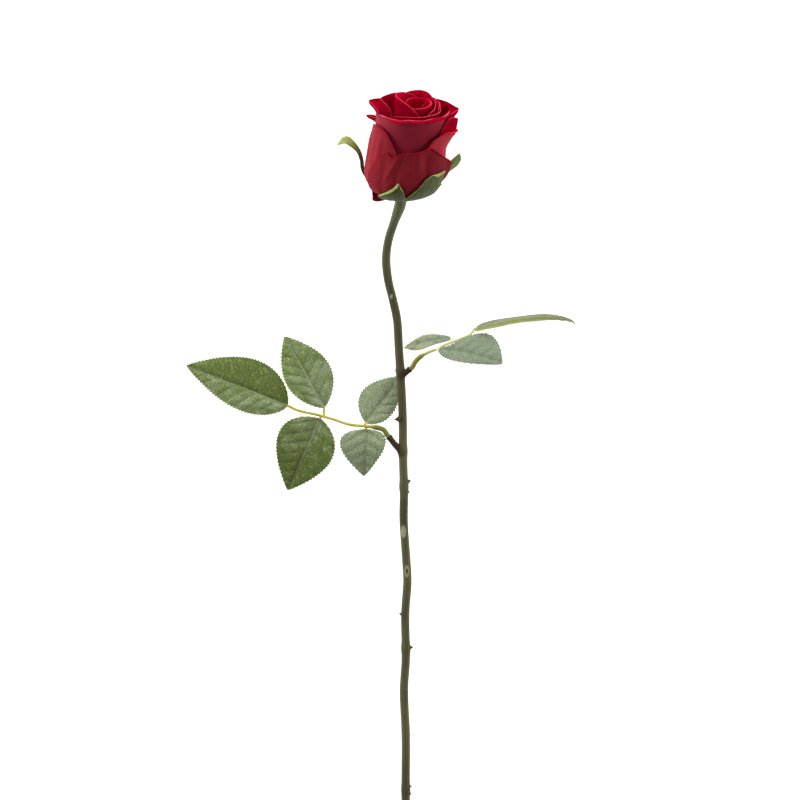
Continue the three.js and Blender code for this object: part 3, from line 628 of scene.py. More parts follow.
# %% [markdown]
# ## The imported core
#
# Below the mouth the petals are pressed together into a solid bud. It is turned, as a potter would, from a
# disc that is pulled up ring by ring: each step extrudes the top face and scales it to the next radius.

# %% Core
CORE_PROFILE = [
    (4, 0.3), (4, 5), (12, 6.4), (18, 9.4), (20.8, 14.4), (21.2, 22), (20.4, 31), (18, 40), (13, 46), (5, 48.5),
]
TURNED_SIDES = 40


def turned(name, profile):
    """A closed solid of revolution, pulled up ring by ring from a disc, and laid down with the bloom."""
    (radius, height), *rings = profile
    bpy.ops.object.select_all(action="DESELECT")
    bpy.ops.mesh.primitive_circle_add(
        vertices=TURNED_SIDES, radius=radius, location=(0, 0, height), fill_type="TRIFAN",
    )
    piece = bpy.context.object
    piece.name = name
    bpy.ops.object.transform_apply(location=True)
    bpy.ops.object.mode_set(mode="EDIT")
    bpy.ops.mesh.select_all(action="SELECT")
    for next_radius, next_height in rings:
        bpy.ops.mesh.extrude_region_move(TRANSFORM_OT_translate={"value": (0, 0, next_height - height)})
        scale = next_radius / radius
        bpy.ops.transform.resize(value=(scale, scale, 1), center_override=(0, 0, next_height))
        radius, height = next_radius, next_height
    bpy.ops.mesh.select_all(action="SELECT")
    bpy.ops.mesh.normals_make_consistent(inside=False)
    bpy.ops.object.mode_set(mode="OBJECT")
    piece.data.transform(Matrix.Scale(MM, 4) @ bloom_frame)
    piece.data.update()
    apply_modifier(piece, "SUBSURF", levels=1, render_levels=1)
    return piece


core = turned("inner_bloom_core", CORE_PROFILE)
keep_above(core, INNER_LOWEST)
finish_solid(core, DARK_OUTER, 50, "inner_bloom")

# %% [markdown]
# ## Calyx: cup and sepals
#
# The calyx is the green cup under the bloom, with five sepals that once closed over the bud. Each sepal
# follows the bowl of the petals and then goes its own way: one is a short triangle with a folded edge, one
# is broad with a lobed edge and a folded tip, and two curl outwards. A sepal is darker and rougher outside
# than inside, which shows wherever it folds over.


# %% Sepal materials
def sepal_material(name, deep, light, rim):
    """Downy leaf skin, with veins that are drawn 0.7 mm wide and 7 mm long so that they show."""
    material, shader, add = new_material(name, Roughness=0.65, Specular_IOR_Level=0.2)
    veins = add("TexNoise", add("Mapping", add("UVMap"), Scale=(150, 14, 1)), Scale=1, Detail=3)
    colour = add(MIX, add(RAMP, veins, 0.35, 0.68), deep, light)
    near = add(MARK + "edge", output="Fac")
    colour = add(MIX, add(RAMP, near, 0.3, 1, 0, 0.8), colour, rim)
    # Painted shade: the tint darkens the face towards deep green on the lower part of a curled sepal.
    colour = add(MIX, add(MARK + "tint", output="Fac"), colour, "#3a5820")
    fill(shader["Base Color"], colour)
    fill(shader["Normal"], add("Bump", Height=veins, Strength=0.4, Distance=0.15 * MM))
    return material


SEPAL_OUTER = sepal_material("sepal, downy outer face", "#46502e", "#5b653b", "#75804a")
SEPAL_INNER = sepal_material("sepal, pale inner face", "#84934a", "#a3b062", "#b4c070")
SEPAL_RIM = sepal_material("sepal, thin rim", "#7b8848", "#95a15c", "#a4ae6c")
# The curled sepals wear copies of the sepal's outer and inner faces painted lighter, as painted light.
LIT_CURL_OUTER = sepal_material("sepal, painted_lit outer face", "#50622a", "#70803a", "#94a254")
LIT_CURL_INNER = sepal_material("sepal, sunlit inner face", "#a4b458", "#c6d280", "#d2dc94")

# %% Sepal shapes
SEPAL_LAYER = -1.35
SEPAL_THICKNESS = 0.55
WALL_PER_SHARE = 28
SEPAL_ROWS, SEPAL_COLUMNS = 60, 24
SHADED_PART = (0.5, 0.85)
SEPALS = {
    "front_left": dict(
        run=[(-19, 0, 4), (-19, 0.3, 10.5), (-17.5, 0.56, 10), (-12, 0.8, 5.8), (-8, 0.97, 0.5)],
        fold=[(0, -1), (0.5, -1), (0.62, -0.88), (0.76, -0.64), (0.9, -0.4), (1, -0.3)]),
    "front_right": dict(lobes=0.17, tip_fold=0.87, run=[
        (28, 0, 4), (33, 0.3, 12.4), (36, 0.54, 13.2), (38, 0.74, 11.6), (41, 0.9, 9.6), (45, 1, 8.4),
        (50, 1.07, 6.4), (55, 1.15, 0.8)]),
    "right": dict(outer=LIT_CURL_OUTER, run=[
        (124, 0, 4), (122, 0.3, 5), (117, 0.58, 4.8, 1.2), (112, 0.8, 5.8, 3, -20), (107, 0.94, 6.6, 4.4, -50),
        (103, 1.08, 4.6, 5.4, -60), (99, 1.28, 0.3, 6.8, -60)]),
    "under": dict(run=[(180, 0, 4), (180, 0.16, 5), (180, 0.3, 3.6), (180, 0.44, 0.5)]),
    "left": dict(shade=0.9, outer=LIT_CURL_OUTER, inner=LIT_CURL_INNER, run=[
        (-128, 0, 3.6), (-126, 0.3, 3), (-120, 0.62, 2, 0.2), (-110, 0.94, 1.6, 0.2, -20),
        (-103, 1.14, 1.4, 0.6, -40), (-100, 1.34, 1.5, 2.8, -60), (-98, 1.53, 2.2, 7.6, -70),
        (-98, 1.62, 2.7, 12, -70), (-98, 1.49, 0.5, 17, -65)]),
}


# %% Sepals
def sepal_place(run, t, lift=0.0):
    """Azimuth, radius and height of the middle of a sepal at share t of its run, and lift off the petals."""
    full = padded(run, 5)
    knots = np.stack([np.radians(full[:, 0]), full[:, 1], full[:, 3] / BELLY_RADIUS], 1)
    azimuth, share, off = curve(knots, t).T[..., None]
    off = off * BELLY_RADIUS + lift
    wall = np.maximum(0, share - 1) * WALL_PER_SHARE
    radius, height, turn = bowl(SEPAL_LAYER, np.minimum(share, 1))
    reach = np.where(wall > 0, wall_radius(SEPAL_LAYER, height + wall), radius)
    return np.degrees(azimuth), reach + off * np.sin(turn), height + wall - off * np.cos(turn)


def sepal(name, run, fold=None, tip_fold=None, lobes=0.0, shade=0.0, outer=SEPAL_OUTER, inner=SEPAL_INNER):
    """Its run is points of azimuth, share of the bowl, half-width, height off the petals and twist in degrees."""
    t = np.linspace(0, 1, SEPAL_ROWS)
    column = t[:, None]
    full = padded(run, 5)
    spread = curve(np.stack([np.arange(len(run)), full[:, 2], np.radians(full[:, 4])], 1), t)
    flat_place = np.ones((SEPAL_ROWS, 1)) * np.linspace(-1, 1, SEPAL_COLUMNS)
    place, lift, along = flat_place, 0 * flat_place, t
    half, twist = spread[:, 1:2] + lift, spread[:, 2:]
    if fold:
        line = np.interp(t, *np.transpose(fold))[:, None]
        flap = np.maximum(line - place, 0) * half
        place = np.where(place < line, 2 * line - place, place)
        lift = lift + 0.9 * smoothstep(flap, 0, 1.2) + 0.12 * flap
    if tip_fold:
        along = np.where(t > tip_fold, tip_fold - 0.9 * (t - tip_fold), t)
        shrunk = np.maximum(half, 2.6 * (1 - column) / (1 - tip_fold))
        half = np.where(column > tip_fold, shrunk, half)
        lift = lift + 1.3 * smoothstep(column, tip_fold - 0.02, tip_fold + 0.05)
    wave = np.sin(along * 31) + 0.6 * np.sin(along * 53 + 1)
    half = half * (1 + lobes * wave[:, None] * np.maximum(place, 0) ** 2)
    pleats = 0.18 * np.sin(9 * place + 5 * column) * np.abs(place)
    arch = 0.35 * (1 - place**2) - 0.3 * np.exp(-((place / 0.12) ** 2)) + pleats
    lift = lift + arch * np.minimum(half / 4, 1)
    before, after = (sepal_place(run, np.clip(along + step, 0, 1)) for step in (-0.03, 0.03))
    out, up = after[1] - before[1], after[2] - before[2]
    size = np.hypot(out, up)
    azimuth, radius, height = sepal_place(run, along, lift)
    turn = np.degrees(np.arctan2(place * half * np.cos(twist), radius))
    rise = place * half * np.sin(twist)
    points = bloom_points(azimuth + turn, radius - up / size * rise, height + out / size * rise)
    points[..., 2] = np.maximum(points[..., 2], SEPAL_THICKNESS / 2)
    uv = np.stack([flat_place * half, travelled(points[:, 0])[:, None] + 0 * place], -1)
    # Painted shade on the sepal's lower part, full up to half its run and fading out towards its tip.
    shaded = shade * (1 - smoothstep(column + 0 * place, *SHADED_PART))
    edge = edge_nearness(points, 0.8)
    piece = blade(f"sepal_{name}", points, uv, edge, SEPAL_THICKNESS, [outer, inner, SEPAL_RIM], shaded)
    settle(piece, "calyx")


for name, shape in SEPALS.items():
    sepal(name, **shape)


# %% Calyx cup
CUP_BOTTOM = -3
CUP_PROFILE = [(3.9, CUP_BOTTOM - 0.3), (4.6, CUP_BOTTOM + 0.4), (7, -1.6), (7.6, -0.9), (7.2, -0.4), (3, -0.1)]
finish_solid(turned("calyx_cup", CUP_PROFILE), SEPAL_OUTER, 80, "calyx")

# %% [markdown]
# ## Stem
#
# The stem is a long tube along a gently bent path, thicker at the neck and at the nodes, where leaves grow or
# grew. A curve with a round bevel makes it, with its own radius at every point. Prickles and the two spurs
# that hold the leaves are smaller tubes, flared at their roots and joined on with a Boolean. They are woodier,
# so each point of the mesh stores how near one of them is. A pale scar is left where a leaf or a prickle has
# come off, and one small pale spot on top of the stem is a painted glint.


# %% Tubes
def tube(name, points, radii, resolution):
    """A closed round tube through points, with a radius at each."""
    data = bpy.data.curves.new(name, "CURVE")
    data.dimensions = "3D"
    data.bevel_depth = MM
    data.bevel_resolution = resolution
    data.use_fill_caps = True
    spline = data.splines.new("POLY")
    spline.points.add(len(points) - 1)
    for knot, point, radius in zip(spline.points, points, radii, strict=True):
        knot.co = (*(point * MM), 1)
        knot.radius = radius
    piece = bpy.data.objects.new(name, data)
    bpy.context.scene.collection.objects.link(piece)
    only(piece)
    bpy.ops.object.convert(target="MESH")
    piece = bpy.context.object
    bpy.ops.object.mode_set(mode="EDIT")
    bpy.ops.mesh.select_all(action="SELECT")
    bpy.ops.mesh.remove_doubles(threshold=0.002 * MM)
    bpy.ops.mesh.normals_make_consistent(inside=False)
    bpy.ops.object.mode_set(mode="OBJECT")
    return piece


def join(piece, grown):
    """Joins on a part that grows out of the piece."""
    apply_modifier(piece, "BOOLEAN", operation="UNION", solver="MANIFOLD", object=grown)
    bpy.data.objects.remove(grown)


def vertex_points(piece):
    flat = np.zeros(3 * len(piece.data.vertices))
    piece.data.vertices.foreach_get("co", flat)
    return flat.reshape(-1, 3) / MM


# %% Stem path
STEM_RADIUS = 2.75
NECK_RADIUS = 3.8
NECK_FROM, NECK_TO = 192, 208
STEM_TOP = bloom_points(0, 0, CUP_BOTTOM - 0.1)
STEM_BACK = np.array([0, math.cos(BLOOM_TILT), math.sin(BLOOM_TILT)])
STEM_PATH = [
    STEM_TOP, STEM_TOP - 3 * STEM_BACK, (9.4, 196.3, 13.4), (5.2, 183.3, 11.6), (3.6, 171, 11),
    (4.9, 157.3, 11.2), (8, 144.3, 11.6), (10.7, 131.3, 12), (11.9, 112, 12.3), (13.2, 92, 12.2),
    (14.4, 66, 11.6), (14.6, 42, 10.6), (15.2, 20, 9.6), (15, 1.3, 8.7), (16.7, -24.8, 7.6),
    (17.4, -37.8, 7), (16, -60, 6.2), (16.4, -88, 5.3), (15.2, -109, 4.7), (16.4, -140, 4),
    (16.3, -176, 3.5), (17.2, -215, 3.1), (19.6, -247, 2.85), (23, -279.5, STEM_RADIUS),
]
STEM_RINGS = 620
NODE_LENGTH = 3.5
STEM_NODES = [(98, 0.35), (46, 0.35), (23, 0.4), (-82, 0.4), (-174, 0.3)]
PRICKLES = [
    (66.8, (-1, 0.1, 0.2), 3.1), (98.6, (-1, 0, 0.1), 0.9), (25, (1, 0.5, 0.1), 2.8), (19, (1, 0.3, -0.2), 1.5),
    (-60.5, (-1, 0.4, 0), 1.7), (-82, (1, 0.3, 0.1), 2.5), (-172, (1, 0.2, 0.1), 1.4), (-176, (1, -0.1, 0.1), 1.2),
]
SPURS = {
    "left": [(14.7, 40, 10.5), (12.6, 46.5, 11), (8.6, 51.2, 11.8), (5.2, 55.6, 12.4)],
    "right": [(12.9, 92, 12.2), (14.6, 95.6, 12.6), (17, 97.6, 13), (19.2, 99.4, 13.5)],
}
SPUR_RADIUS = 1.8
# Along Y, aside, half-width, half-length, and 1 where only the rim of the scar is pale. The last is a painted glint.
SCARS_AND_GLINT = [(-6.2, -0.5, 1.7, 4.3, 0), (-32, -0.2, 1.6, 4.1, 1), (146.5, -0.4, 0.8, 1.7, 0)]

stem_points = even_curve(STEM_PATH, STEM_RINGS)
stem_y = stem_points[:, 1]
stem_radii = STEM_RADIUS + (NECK_RADIUS - STEM_RADIUS) * smoothstep(stem_y, NECK_FROM, NECK_TO)
for y, swell in STEM_NODES:
    stem_radii = stem_radii + swell * np.exp(-(((stem_y - y) / NODE_LENGTH) ** 2))
stem_radii = stem_radii + 0.09 * np.array([noise.noise(Vector((0, y / 16, 3))) for y in stem_y])
stem = tube("stem_bark", stem_points, stem_radii, 10)
print("stem radius in mm:", stem_radii.min().round(2), "to", stem_radii.max().round(2))


def on_stem(y):
    return stem_points[np.argmin(np.abs(stem_y - y))]


# %% Prickles and spurs
def prickle(number, y, away, length):
    """A small hooked horn, flared where it grows from the stem."""
    t = np.linspace(0.35, 1, 14)[:, None]
    hook = np.array([0, -0.35 * length, 0]) * t**3
    radii = 0.12 + 2.7 * (1 - np.linspace(0, 1, 14)) ** 1.4
    return tube(f"prickle_{number}", on_stem(y) + unit(away) * (STEM_RADIUS + length) * t + hook, radii, 5)


def spur(side):
    share = np.linspace(0, 1, 24)
    root = STEM_RADIUS * 0.85
    radii = root + (SPUR_RADIUS - root) * share + 0.35 * smoothstep(share, 0.82, 0.98)
    return tube(f"spur_{side}", even_curve(SPURS[side], 24), radii, 6)


for number, shape in enumerate(PRICKLES):
    join(stem, prickle(number, *shape))
for side in SPURS:
    join(stem, spur(side))


# %% Bark marks
points = vertex_points(stem)
woody, pale = np.zeros((2, len(points)))
for y, away, length in PRICKLES:
    tip = on_stem(y) + unit(away) * (STEM_RADIUS + length)
    woody = np.maximum(woody, 1 - np.linalg.norm(points - tip, axis=1) / (2.2 + length))
for side in SPURS:
    run = even_curve(SPURS[side], 12)
    near = np.min(np.linalg.norm(points[:, None] - run[None, 3:], axis=2), 1)
    woody = np.maximum(woody, 1 - smoothstep(near, 2.2, 4.6))
for y, aside, wide, long, ringed in SCARS_AND_GLINT:
    middle = on_stem(y)
    far = np.hypot((points[:, 0] - middle[0] - aside) / wide, (points[:, 1] - y) / long)
    upper = points[:, 2] > middle[2]
    inside = ringed * upper * (1 - smoothstep(far, 0.3, 0.6))
    pale = np.maximum(pale, upper * (1 - smoothstep(far, 0.75, 1.1)) - inside)
    woody = np.maximum(woody, 0.6 * inside)
store(stem, "woody", np.clip(woody, 0, 1))
store(stem, "pale", pale)
store(stem, "young", smoothstep(points[:, 1], 170, 206))
print("stem woodiness up to", woody.max().round(2))

# %% [markdown]
# ## Stem and stalk finishes
#
# The stem has a thin waxy coat over green bark: dark olive, streaked along its length, with a soft shine
# where it turns away. The stalks of the leaves are young and yellow-green, with a browner sleeve at the spur.


# %% Stem materials
def bark_material():
    """Its streaks are 1.1 mm wide and 29 mm long, coarse enough to show."""
    material, shader, add = new_material(
        "green rose bark, waxy", Roughness=0.6, Specular_IOR_Level=0.12, Sheen_Weight=0.08, Sheen_Roughness=0.5,
    )
    place = add("TexCoord", output="Object")
    streaks = add("TexNoise", add("Mapping", place, Scale=(900, 35, 900)), Scale=1, Detail=4)
    patches = add("TexNoise", place, Scale=28, Detail=2)
    share = add(RAMP, add(PLUS, streaks, patches), 0.75, 1.25)
    colour = add(MIX, share, "#47432b", "#615d3f")
    young = add(TIMES, add(MARK + "young", output="Fac"), 0.6)
    colour = add(MIX, young, colour, "#7c8364")
    # The pale mark paints each scar, and also one small painted glint on top of the stem.
    for mark, mark_colour in (("pale", "#a3a080"), ("woody", "#3f3222")):
        colour = add(MIX, add(MARK + mark, output="Fac"), colour, mark_colour)
    fill(shader["Base Color"], colour)
    fill(shader["Normal"], add("Bump", Height=streaks, Strength=0.3, Distance=0.1 * MM))
    return material


def stalk_material(name, deep, light, sleeve):
    material, shader, add = new_material(name, Roughness=0.5, Specular_IOR_Level=0.3)
    patches = add("TexNoise", add("TexCoord", output="Object"), Scale=120, Detail=2)
    colour = add(MIX, add(RAMP, patches, 0.4, 0.6), deep, light)
    colour = add(MIX, add(MARK + "woody", output="Fac"), colour, sleeve)
    fill(shader["Base Color"], colour)
    return material


STALK_FINISHES = {
    "left": stalk_material("leaf stalk, yellow", "#c4ad45", "#ccc066", "#7f8038"),
    "right": stalk_material("leaf stalk, yellow-green", "#cfd48c", "#dde0aa", "#918b33"),
}
finish_solid(stem, bark_material(), 40, "stem")

# %% [markdown]
# ## Leaves
#
# Each compound leaf has a thin stalk that carries its leaflets, in pairs on short branches and one at the
# end. A leaflet is egg-shaped with a drawn-out tip, saw teeth all round and a blade that bulges up between
# its veins. The veins leave the midrib at an angle and curve towards the tip.

# %% Leaf shapes
SEAT = 0.4  # from a stalk's end face to its leaflet
STALK_BASE_RADIUS, STALK_RADIUS, BRANCH_RADIUS = 1.5, 1.05, 0.8
STALK_END, BRANCH_END = 1, 0.8
SLEEVE_LENGTH = 15
STALKS = {
    "left": [
        (1.5, 60.2, 12.9), (-10.5, 62.3, 12.6), (-20, 63.3, 12), (-30.3, 66.6, 11.2), (-40, 69.4, 10.4),
        (-54, 72.6, 9.2), (-60, 75.4, 8.5),
    ],
    "right": [
        (22.4, 103.8, 14.5), (26, 107.4, 15.6), (32, 110.6, 16.8), (37.5, 112.6, 17.6), (43, 115.6, 17.8),
        (52, 119, 17.4), (58.6, 122.2, 16.8), (61, 125.4, 16.4),
    ],
}
# Tints give, at the base and tip of the left and right half, how much grey-green painted sheen is mixed in.
LEAFLETS = {
    ("left", "end"): dict(
        tip=(-126.2, 101.6, 0.35), facing=(0.05, 0, 1), left=14.8, right=20.6, arch=3.4, fold=0.1,
        tints=(0.45, 0.25, 0, 0.1)),
    ("left", "upper"): dict(
        branch=[(-36.2, 68.3, 10.7), (-36.9, 71.4, 10.8), (-36.6, 74, 10.6)], tip=(-62.5, 120.5, 6),
        facing=(0.1, 0.05, 1), left=14.8, right=16.9, arch=1.5, fold=0.1, fullness=(0.86, 0.82),
        tints=(0.48, 0.2, 0.52, 0.28)),
    ("left", "lower"): dict(
        branch=[(-38.6, 69, 10.5), (-39.2, 67.4, 10.4)], tip=(-60.4, 20.8, 1.2), facing=(0, -0.15, 1),
        left=18.1, right=21.4, arch=2.5, fold=0.12, fullness=(0.72, 0.66), tints=(0.32, 0, 0.4, 0.05)),
    ("left", "inner_upper"): dict(
        branch=[(-10.8, 62.3, 12.6), (-9.6, 64.2, 12.3)], tip=(13.9, 94.9, 4.2), facing=(0.1, 0, 1),
        left=15.1, right=10.4, arch=0.5, fold=0.05, tints=(0.8, 0.9, 0.8, 0.9)),
    ("left", "inner_lower"): dict(
        branch=[(-10.2, 62.3, 12.6), (-9.4, 60.6, 12.4)], tip=(-10.8, 29.9, 5), facing=(0, 0, 1),
        left=13.6, right=17, arch=2.5, fold=0.12, fullness=(0.46, 0.54), tints=(0.85, 0.75, 0.9, 0.8)),
    ("right", "end"): dict(
        tip=(126.2, 128.1, 9.5), facing=(0, -1, 0.19), left=15, right=15, arch=-6.2, fold=0.03, bend=(1.6, 0.45),
        fullness=(0.5, 0.5), roundness=0.55, tints=(0.8, 0.35, 0.05, 0), finish=("under", "upper")),
    ("right", "near"): dict(
        branch=[(36, 112, 17.4), (36.6, 112.2, 20.4), (37.4, 112.2, 22.8)], tip=(78.7, 102.6, 37),
        facing=(0, 0.62, 0.78), left=19.2, right=9, arch=2.5, fold=0.06, fullness=(1.45, 0.72), roundness=0.8,
        tints=(0.95, 0.95, 0.95, 0.95), finish=("dull", "under")),
    ("right", "far"): dict(
        branch=[(44, 115.9, 17.8), (46, 118, 15.4), (46, 119, 12.6)], tip=(15, 113.2, 3.6),
        facing=(-0.2, 0.86, 0.5), left=9.5, right=8.5, arch=1.5, fold=0.06, twist=(10, -14),
        tints=(1.2, -0.3, 1.1, -0.3), finish=("dull", "under")),
}


def direction(start, end):
    return unit(np.subtract(end, start))


# %% Leaf stalks
def stalk(side, path):
    spur_end = np.array(SPURS[side][-1], float)
    start = direction(SPURS[side][-2], spur_end)
    last = path[-1] + STALK_END * direction(path[-1], LEAFLETS[side, "end"]["tip"])
    points = even_curve([spur_end - 0.4 * start, spur_end + 1.9 * start, *path, last], 160)
    run = travelled(points)
    sleeve = 1 - smoothstep(run, SLEEVE_LENGTH - 4, SLEEVE_LENGTH)
    radii = STALK_RADIUS + (STALK_BASE_RADIUS - STALK_RADIUS + 0.15) * sleeve - 0.2 * run / run[-1]
    main = tube(f"{side}_leaf_stalk_skin", points, radii, 6)
    for (of, place), leaflet in LEAFLETS.items():
        if of == side and "branch" in leaflet:
            branch = leaflet["branch"]
            bent = [*branch, branch[-1] + BRANCH_END * direction(branch[-1], leaflet["tip"])]
            join(main, tube(f"{side}_{place}_twig", even_curve(bent, 20), [BRANCH_RADIUS] * 20, 5))
    far = np.linalg.norm(vertex_points(main) - spur_end, axis=1)
    store(main, "woody", 1 - smoothstep(far, SLEEVE_LENGTH - 5, SLEEVE_LENGTH + 2))
    finish_solid(main, STALK_FINISHES[side], 40, f"{side}_leaf_stalk")


for side, path in STALKS.items():
    stalk(side, path)


# %% [markdown]
# ## Leaf cloth
#
# The upper face of a rose leaflet is a deep green that yellows in a fine net between the veins. Over it a
# grey-green painted sheen is laid, as much as each leaflet's tint says. The pattern needs no picture: the UV map
# is in real lengths, so the veins are lines at equal steps along the blade that bend as they leave the midrib.
# The net is drawn 3 by 1.3 mm, coarser than a real one, so that it shows. Near the midrib the valleys between
# the side veins are darkened as painted shade.

# %% Leaf materials
VEIN_STEP = 7.2
VEIN_SLOPE = 0.85
VEIN_BEND = 0.012
NET_LENGTH, NET_WIDTH = 3.0, 1.3
MIDRIB_FADE = (24, 52)
MIDRIB_U = 0.5  # the midrib's place on the UV map


def leaf_material(name, rich, yellow, grey, pale, valley_shade, vein, rim):
    """Leaf cloth: rich green with a yellow net where its tint is 0, and a grey-green painted sheen where it is 1."""
    material, shader, add = new_material(name, Roughness=0.6, Specular_IOR_Level=0.2)
    uv = add("UVMap")
    u = add("SeparateXYZ", uv)
    x = add("Math operation ABSOLUTE", add(MINUS, u, MIDRIB_U))
    x = add(TIMES, x, UV_LENGTH)
    y = add(TIMES, u.node.outputs["Y"], UV_LENGTH)
    bend = add(TIMES, add(TIMES, x, x), VEIN_BEND)
    sloped = add(MINUS, y, add(TIMES, x, VEIN_SLOPE))
    along = add(PLUS, sloped, bend)
    from_vein = add("Math operation PINGPONG", add(OVER, along, VEIN_STEP), 0.5)
    side_vein = add(RAMP, from_vein, 0, 0.06, 1, 0)
    faded = add(RAMP, y, *MIDRIB_FADE, 1, 0.25)
    midrib = add(TIMES, add(RAMP, x, 0.15, 0.6, 1, 0), faded)
    across = add(TIMES, u, UV_LENGTH / NET_LENGTH)
    meshes = add("CombineXYZ", across, add(OVER, along, NET_WIDTH))
    from_mesh = add("TexVoronoi feature DISTANCE_TO_EDGE", meshes, Scale=1)
    net = add(RAMP, from_mesh, 0.03, 0.13, 1, 0)
    patches = add("TexNoise", uv, Scale=11, Detail=3)  # 9 mm across
    fine = add("TexNoise", uv, Scale=70, Detail=3)  # 1.4 mm across

    netted = add(TIMES, net, add(RAMP, fine, 0.4, 0.6))
    mottle = add(TIMES, netted, add(RAMP, patches, 0.36, 0.66, 0.45, 1.05))
    green = add(MIX, mottle, rich, yellow)
    dust_and_sheen = add(MIX, add(RAMP, fine, 0.35, 0.7), grey, pale)
    # Painted sheen: the tint, swung by patches, mixes the grey-green over the green.
    swing = add(TIMES, add(MINUS, patches, 0.5), 0.9)
    tint = add(MARK + "tint", output="Fac")
    sheen_share = add(RAMP, add(PLUS, tint, swing), 0.1, 0.8)
    colour = add(MIX, sheen_share, green, dust_and_sheen)

    # Painted shade: between the side veins near the midrib the colour is darkened towards the valley colour.
    crease = add(RAMP, from_vein, 0, 0.3, 1, 0)
    crease = add(TIMES, crease, add(RAMP, x, 0, 7, 1, 0))
    colour = add(MIX, add(TIMES, crease, 0.55), colour, valley_shade)
    side_vein = add(TIMES, side_vein, add(RAMP, sheen_share, 0, 1, 0.35, 1))
    side_vein, midrib = add(TIMES, side_vein, 0.55), add(TIMES, midrib, 0.62)
    colour = add(MIX, add("Math operation MAXIMUM", side_vein, midrib), colour, vein)
    near = add(MARK + "edge", output="Fac")
    colour = add(MIX, add(RAMP, near, 0.3, 1, 0, 0.5), colour, rim)
    fill(shader["Base Color"], colour)
    height = add(MINUS, add(TIMES, fine, 0.5), add(TIMES, net, 0.5))
    fill(shader["Normal"], add("Bump", Height=height, Strength=0.5, Distance=0.15 * MM))
    return material


LEAF_FINISHES = {
    "upper": leaf_material(
        "rose leaf, upper face", "#617438", "#a2ae62", "#8b9b76", "#aeb996", "#4a5930", "#c3cba6", "#838f66"),
    "under": leaf_material(
        "rose leaf, paler underside", "#b0b65e", "#c8ce88", "#acb488", "#c0c7a2", "#87935c", "#d0d6b0", "#a3ac82"),
    # The dull finish is the upper face painted darker and greyer, as painted shade, for leaflets that face the lamp
    # beyond.
    "dull": leaf_material(
        "rose leaf, upper face painted in shade", "#a6ae88", "#bcc29e", "#74826a", "#8b9880", "#5c6a50", "#8f9a80", "#84917a"),
    "rim": leaf_material(
        "rose leaf, frayed edge", "#7d8a58", "#9ca66f", "#8d9a78", "#a6b190", "#6c7a4c", "#b3bd94", "#8c9870"),
}
print("leaf finishes:", ", ".join(LEAF_FINISHES))

# %% Leaflets
LEAFLET_THICKNESS = 0.45
TOOTH_PITCH, TOOTH_DEPTH, ROWS_PER_TOOTH = 2.05, 1.2, 5
LEAFLET_COLUMNS = 41
LEAFLET_BASE_HALF, LEAFLET_TIP_HALF = 0.7, 0.12


def leaflet(
    side, place, tip, facing, left, right, arch, fold, tints, branch=None, fullness=(0.72, 0.72), roundness=0.82,
    twist=(0, 0), bend=(1, 1.2), finish=("upper", "under"),
):
    """Left and right are its half-widths, and twist turns its upper face towards its right, in degrees."""
    carrier = np.array((branch or STALKS[side])[-1], float)
    base = carrier + direction(carrier, tip) * ((BRANCH_END if branch else STALK_END) + SEAT)
    base = base - direction(base, tip) * (SEAT + 0.5)
    run = np.subtract(tip, base)
    length = np.linalg.norm(run)
    flat_across = unit(np.cross(run, facing))
    flat_up = unit(np.cross(flat_across, run))

    teeth = round(length / TOOTH_PITCH)
    t = np.linspace(0, 1, teeth * ROWS_PER_TOOTH + 1)[:, None]
    c = np.linspace(-1, 1, LEAFLET_COLUMNS)[None, :]
    c = np.sign(c) * np.abs(c) ** 0.9
    turn = np.radians(twist[0] + (twist[1] - twist[0]) * smoothstep(t, 0.1, 0.9))
    across = flat_across * np.cos(turn) - flat_up * np.sin(turn)
    up = flat_up * np.cos(turn) + flat_across * np.sin(turn)

    outline = np.sin(math.pi * np.clip(t, 0.001, 0.999) ** np.where(c < 0, *fullness)) ** roundness
    full = np.where(c < 0, left, right) * outline
    tooth = np.minimum(TOOTH_DEPTH, 0.18 * full)
    notch = tooth * (1 - (t * teeth) % 1)
    half = np.maximum(np.where(t > 0.5, LEAFLET_TIP_HALF, LEAFLET_BASE_HALF), full + 0.3 * tooth - notch)
    x, y = np.abs(c) * half, t * length
    lift = x * fold + 0.02 * half * np.sin(9 * t + 2 * c) * np.abs(c)
    vein = (y - VEIN_SLOPE * x + VEIN_BEND * x * x) / VEIN_STEP  # a whole number on each side vein
    between = np.abs(np.sin(math.pi * vein))
    quilt = 0.8 * np.sqrt(between + 0.02) * smoothstep(x, 0.3, 3) * (1 - smoothstep(np.abs(c), 0.6, 1))
    groove = -0.35 * np.exp(-((x / 1.1) ** 2)) * (1 - smoothstep(t, 0.85, 1))
    height = arch * np.sin(math.pi * t ** bend[0]).clip(0) ** bend[1] + lift + quilt + groove
    points = base + run * t[..., None] + across[:, None] * (c * half)[..., None] + up[:, None] * height[..., None]
    rumples = rumple(points, 17, 0.7, len(place) + 3 * len(side))
    points = points + up[:, None] * (rumples * np.sin(math.pi * t))[..., None]
    points[..., 2] = np.maximum(points[..., 2], LEAFLET_THICKNESS / 2)

    uv = np.stack(np.broadcast_arrays(MIDRIB_U * UV_LENGTH + c * half, y), -1)
    left_base, left_tip, right_base, right_tip = tints
    of_left = left_base + (left_tip - left_base) * t
    of_right = right_base + (right_tip - right_base) * t
    tint = of_left + (of_right - of_left) * smoothstep(c, -0.08, 0.08)
    materials = [LEAF_FINISHES[face] for face in (*finish, "rim")]
    edge = edge_nearness(points, 1)
    piece = blade(f"{side}_leaflet_{place}_blade", points, uv, edge, LEAFLET_THICKNESS, materials, tint)
    settle(piece, f"{side}_leaflet_{place}")


for (side, place), shape in LEAFLETS.items():
    leaflet(side, place, **shape)


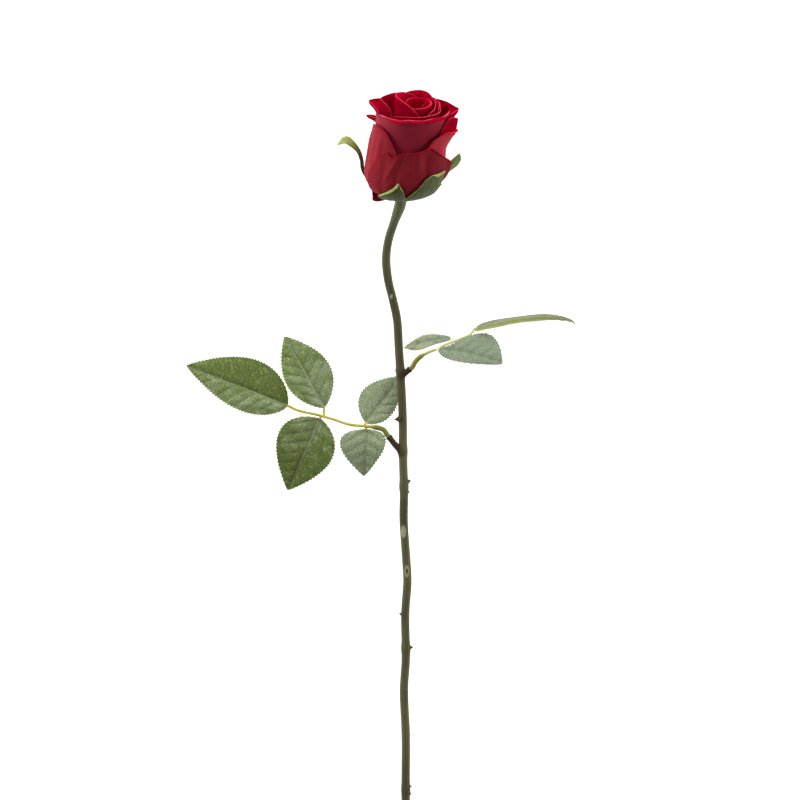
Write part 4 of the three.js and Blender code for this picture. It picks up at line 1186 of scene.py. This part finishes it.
# %% [markdown]
# ## Floor and light
#
# The rose lies on a plain pale table that glows a little, as a product table lit through its top does, so
# the shadows stay faint. Broad soft lamps stand low beyond the bloom and at both sides, which leaves faces
# that look up darker than the rims, and a weak one hangs overhead. Here, lengths are in metres.

# %% Floor
floor_material, _, _ = new_material(
    "pale matte table", Roughness=0.9, Specular_IOR_Level=0.1, Base_Color="#f4f4f3", Emission_Color="#ffffff",
    Emission_Strength=0.8,
)
bpy.ops.mesh.primitive_plane_add(size=8, location=(0, 0, 0))
floor = bpy.context.object
floor.name = "floor"
floor.data.materials.append(floor_material)
floor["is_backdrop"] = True
print("floor:", floor_material.name)

# %% Lights
WORLD_STRENGTH = 0.16
BACKDROP_STRENGTH = 0.93


def lamp(name, place, aim, size, power):
    bpy.ops.object.light_add(type="AREA", location=place)
    made = bpy.context.object
    made.name = name
    made.data.shape = "DISK"
    made.data.size = size
    made.data.energy = power
    made.rotation_euler = (Vector(aim) - Vector(place)).to_track_quat("-Z", "Y").to_euler()


lamp("lamp_beyond", (0.1, 2.2, 0.9), (0, 0.15, 0.02), 1.6, 40)
lamp("lamp_left", (-2.0, 0.5, 0.7), (0, 0.15, 0.02), 1.4, 30)
lamp("lamp_right", (2.0, 0.4, 0.7), (0, 0.15, 0.02), 1.4, 26)
lamp("lamp_overhead", (0.0, -0.4, 3.2), (0, 0.1, 0), 1.5, 4)

world = bpy.data.worlds.new("soft_room")
bpy.context.scene.world = world
world.use_nodes = True
tree = world.node_tree
room = tree.nodes["Background"]
fill(room.inputs["Color"], "#ffffff")
fill(room.inputs["Strength"], WORLD_STRENGTH)
backdrop = add_node(tree, "Background", "#ffffff", BACKDROP_STRENGTH)
seen = add_node(tree, "LightPath", output="Is Camera Ray")
fill(tree.nodes["World Output"].inputs["Surface"], add_node(tree, "MixShader", seen, room.outputs[0], backdrop))
bpy.context.scene.view_settings.view_transform = "Standard"
bpy.context.scene.view_settings.look = "None"

# %% [markdown]
# ## Measure and finish
#
# The box of the solids and the box of the dressed rose are both printed. The dressed rose must
# keep to the box of its solids.

# %% Finish
visual_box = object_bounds()
for name, (low, high) in (("cad", cad_box), ("visual", visual_box)):
    print(name, "box in mm:", [round(v / MM, 1) for v in (*low, *high)])
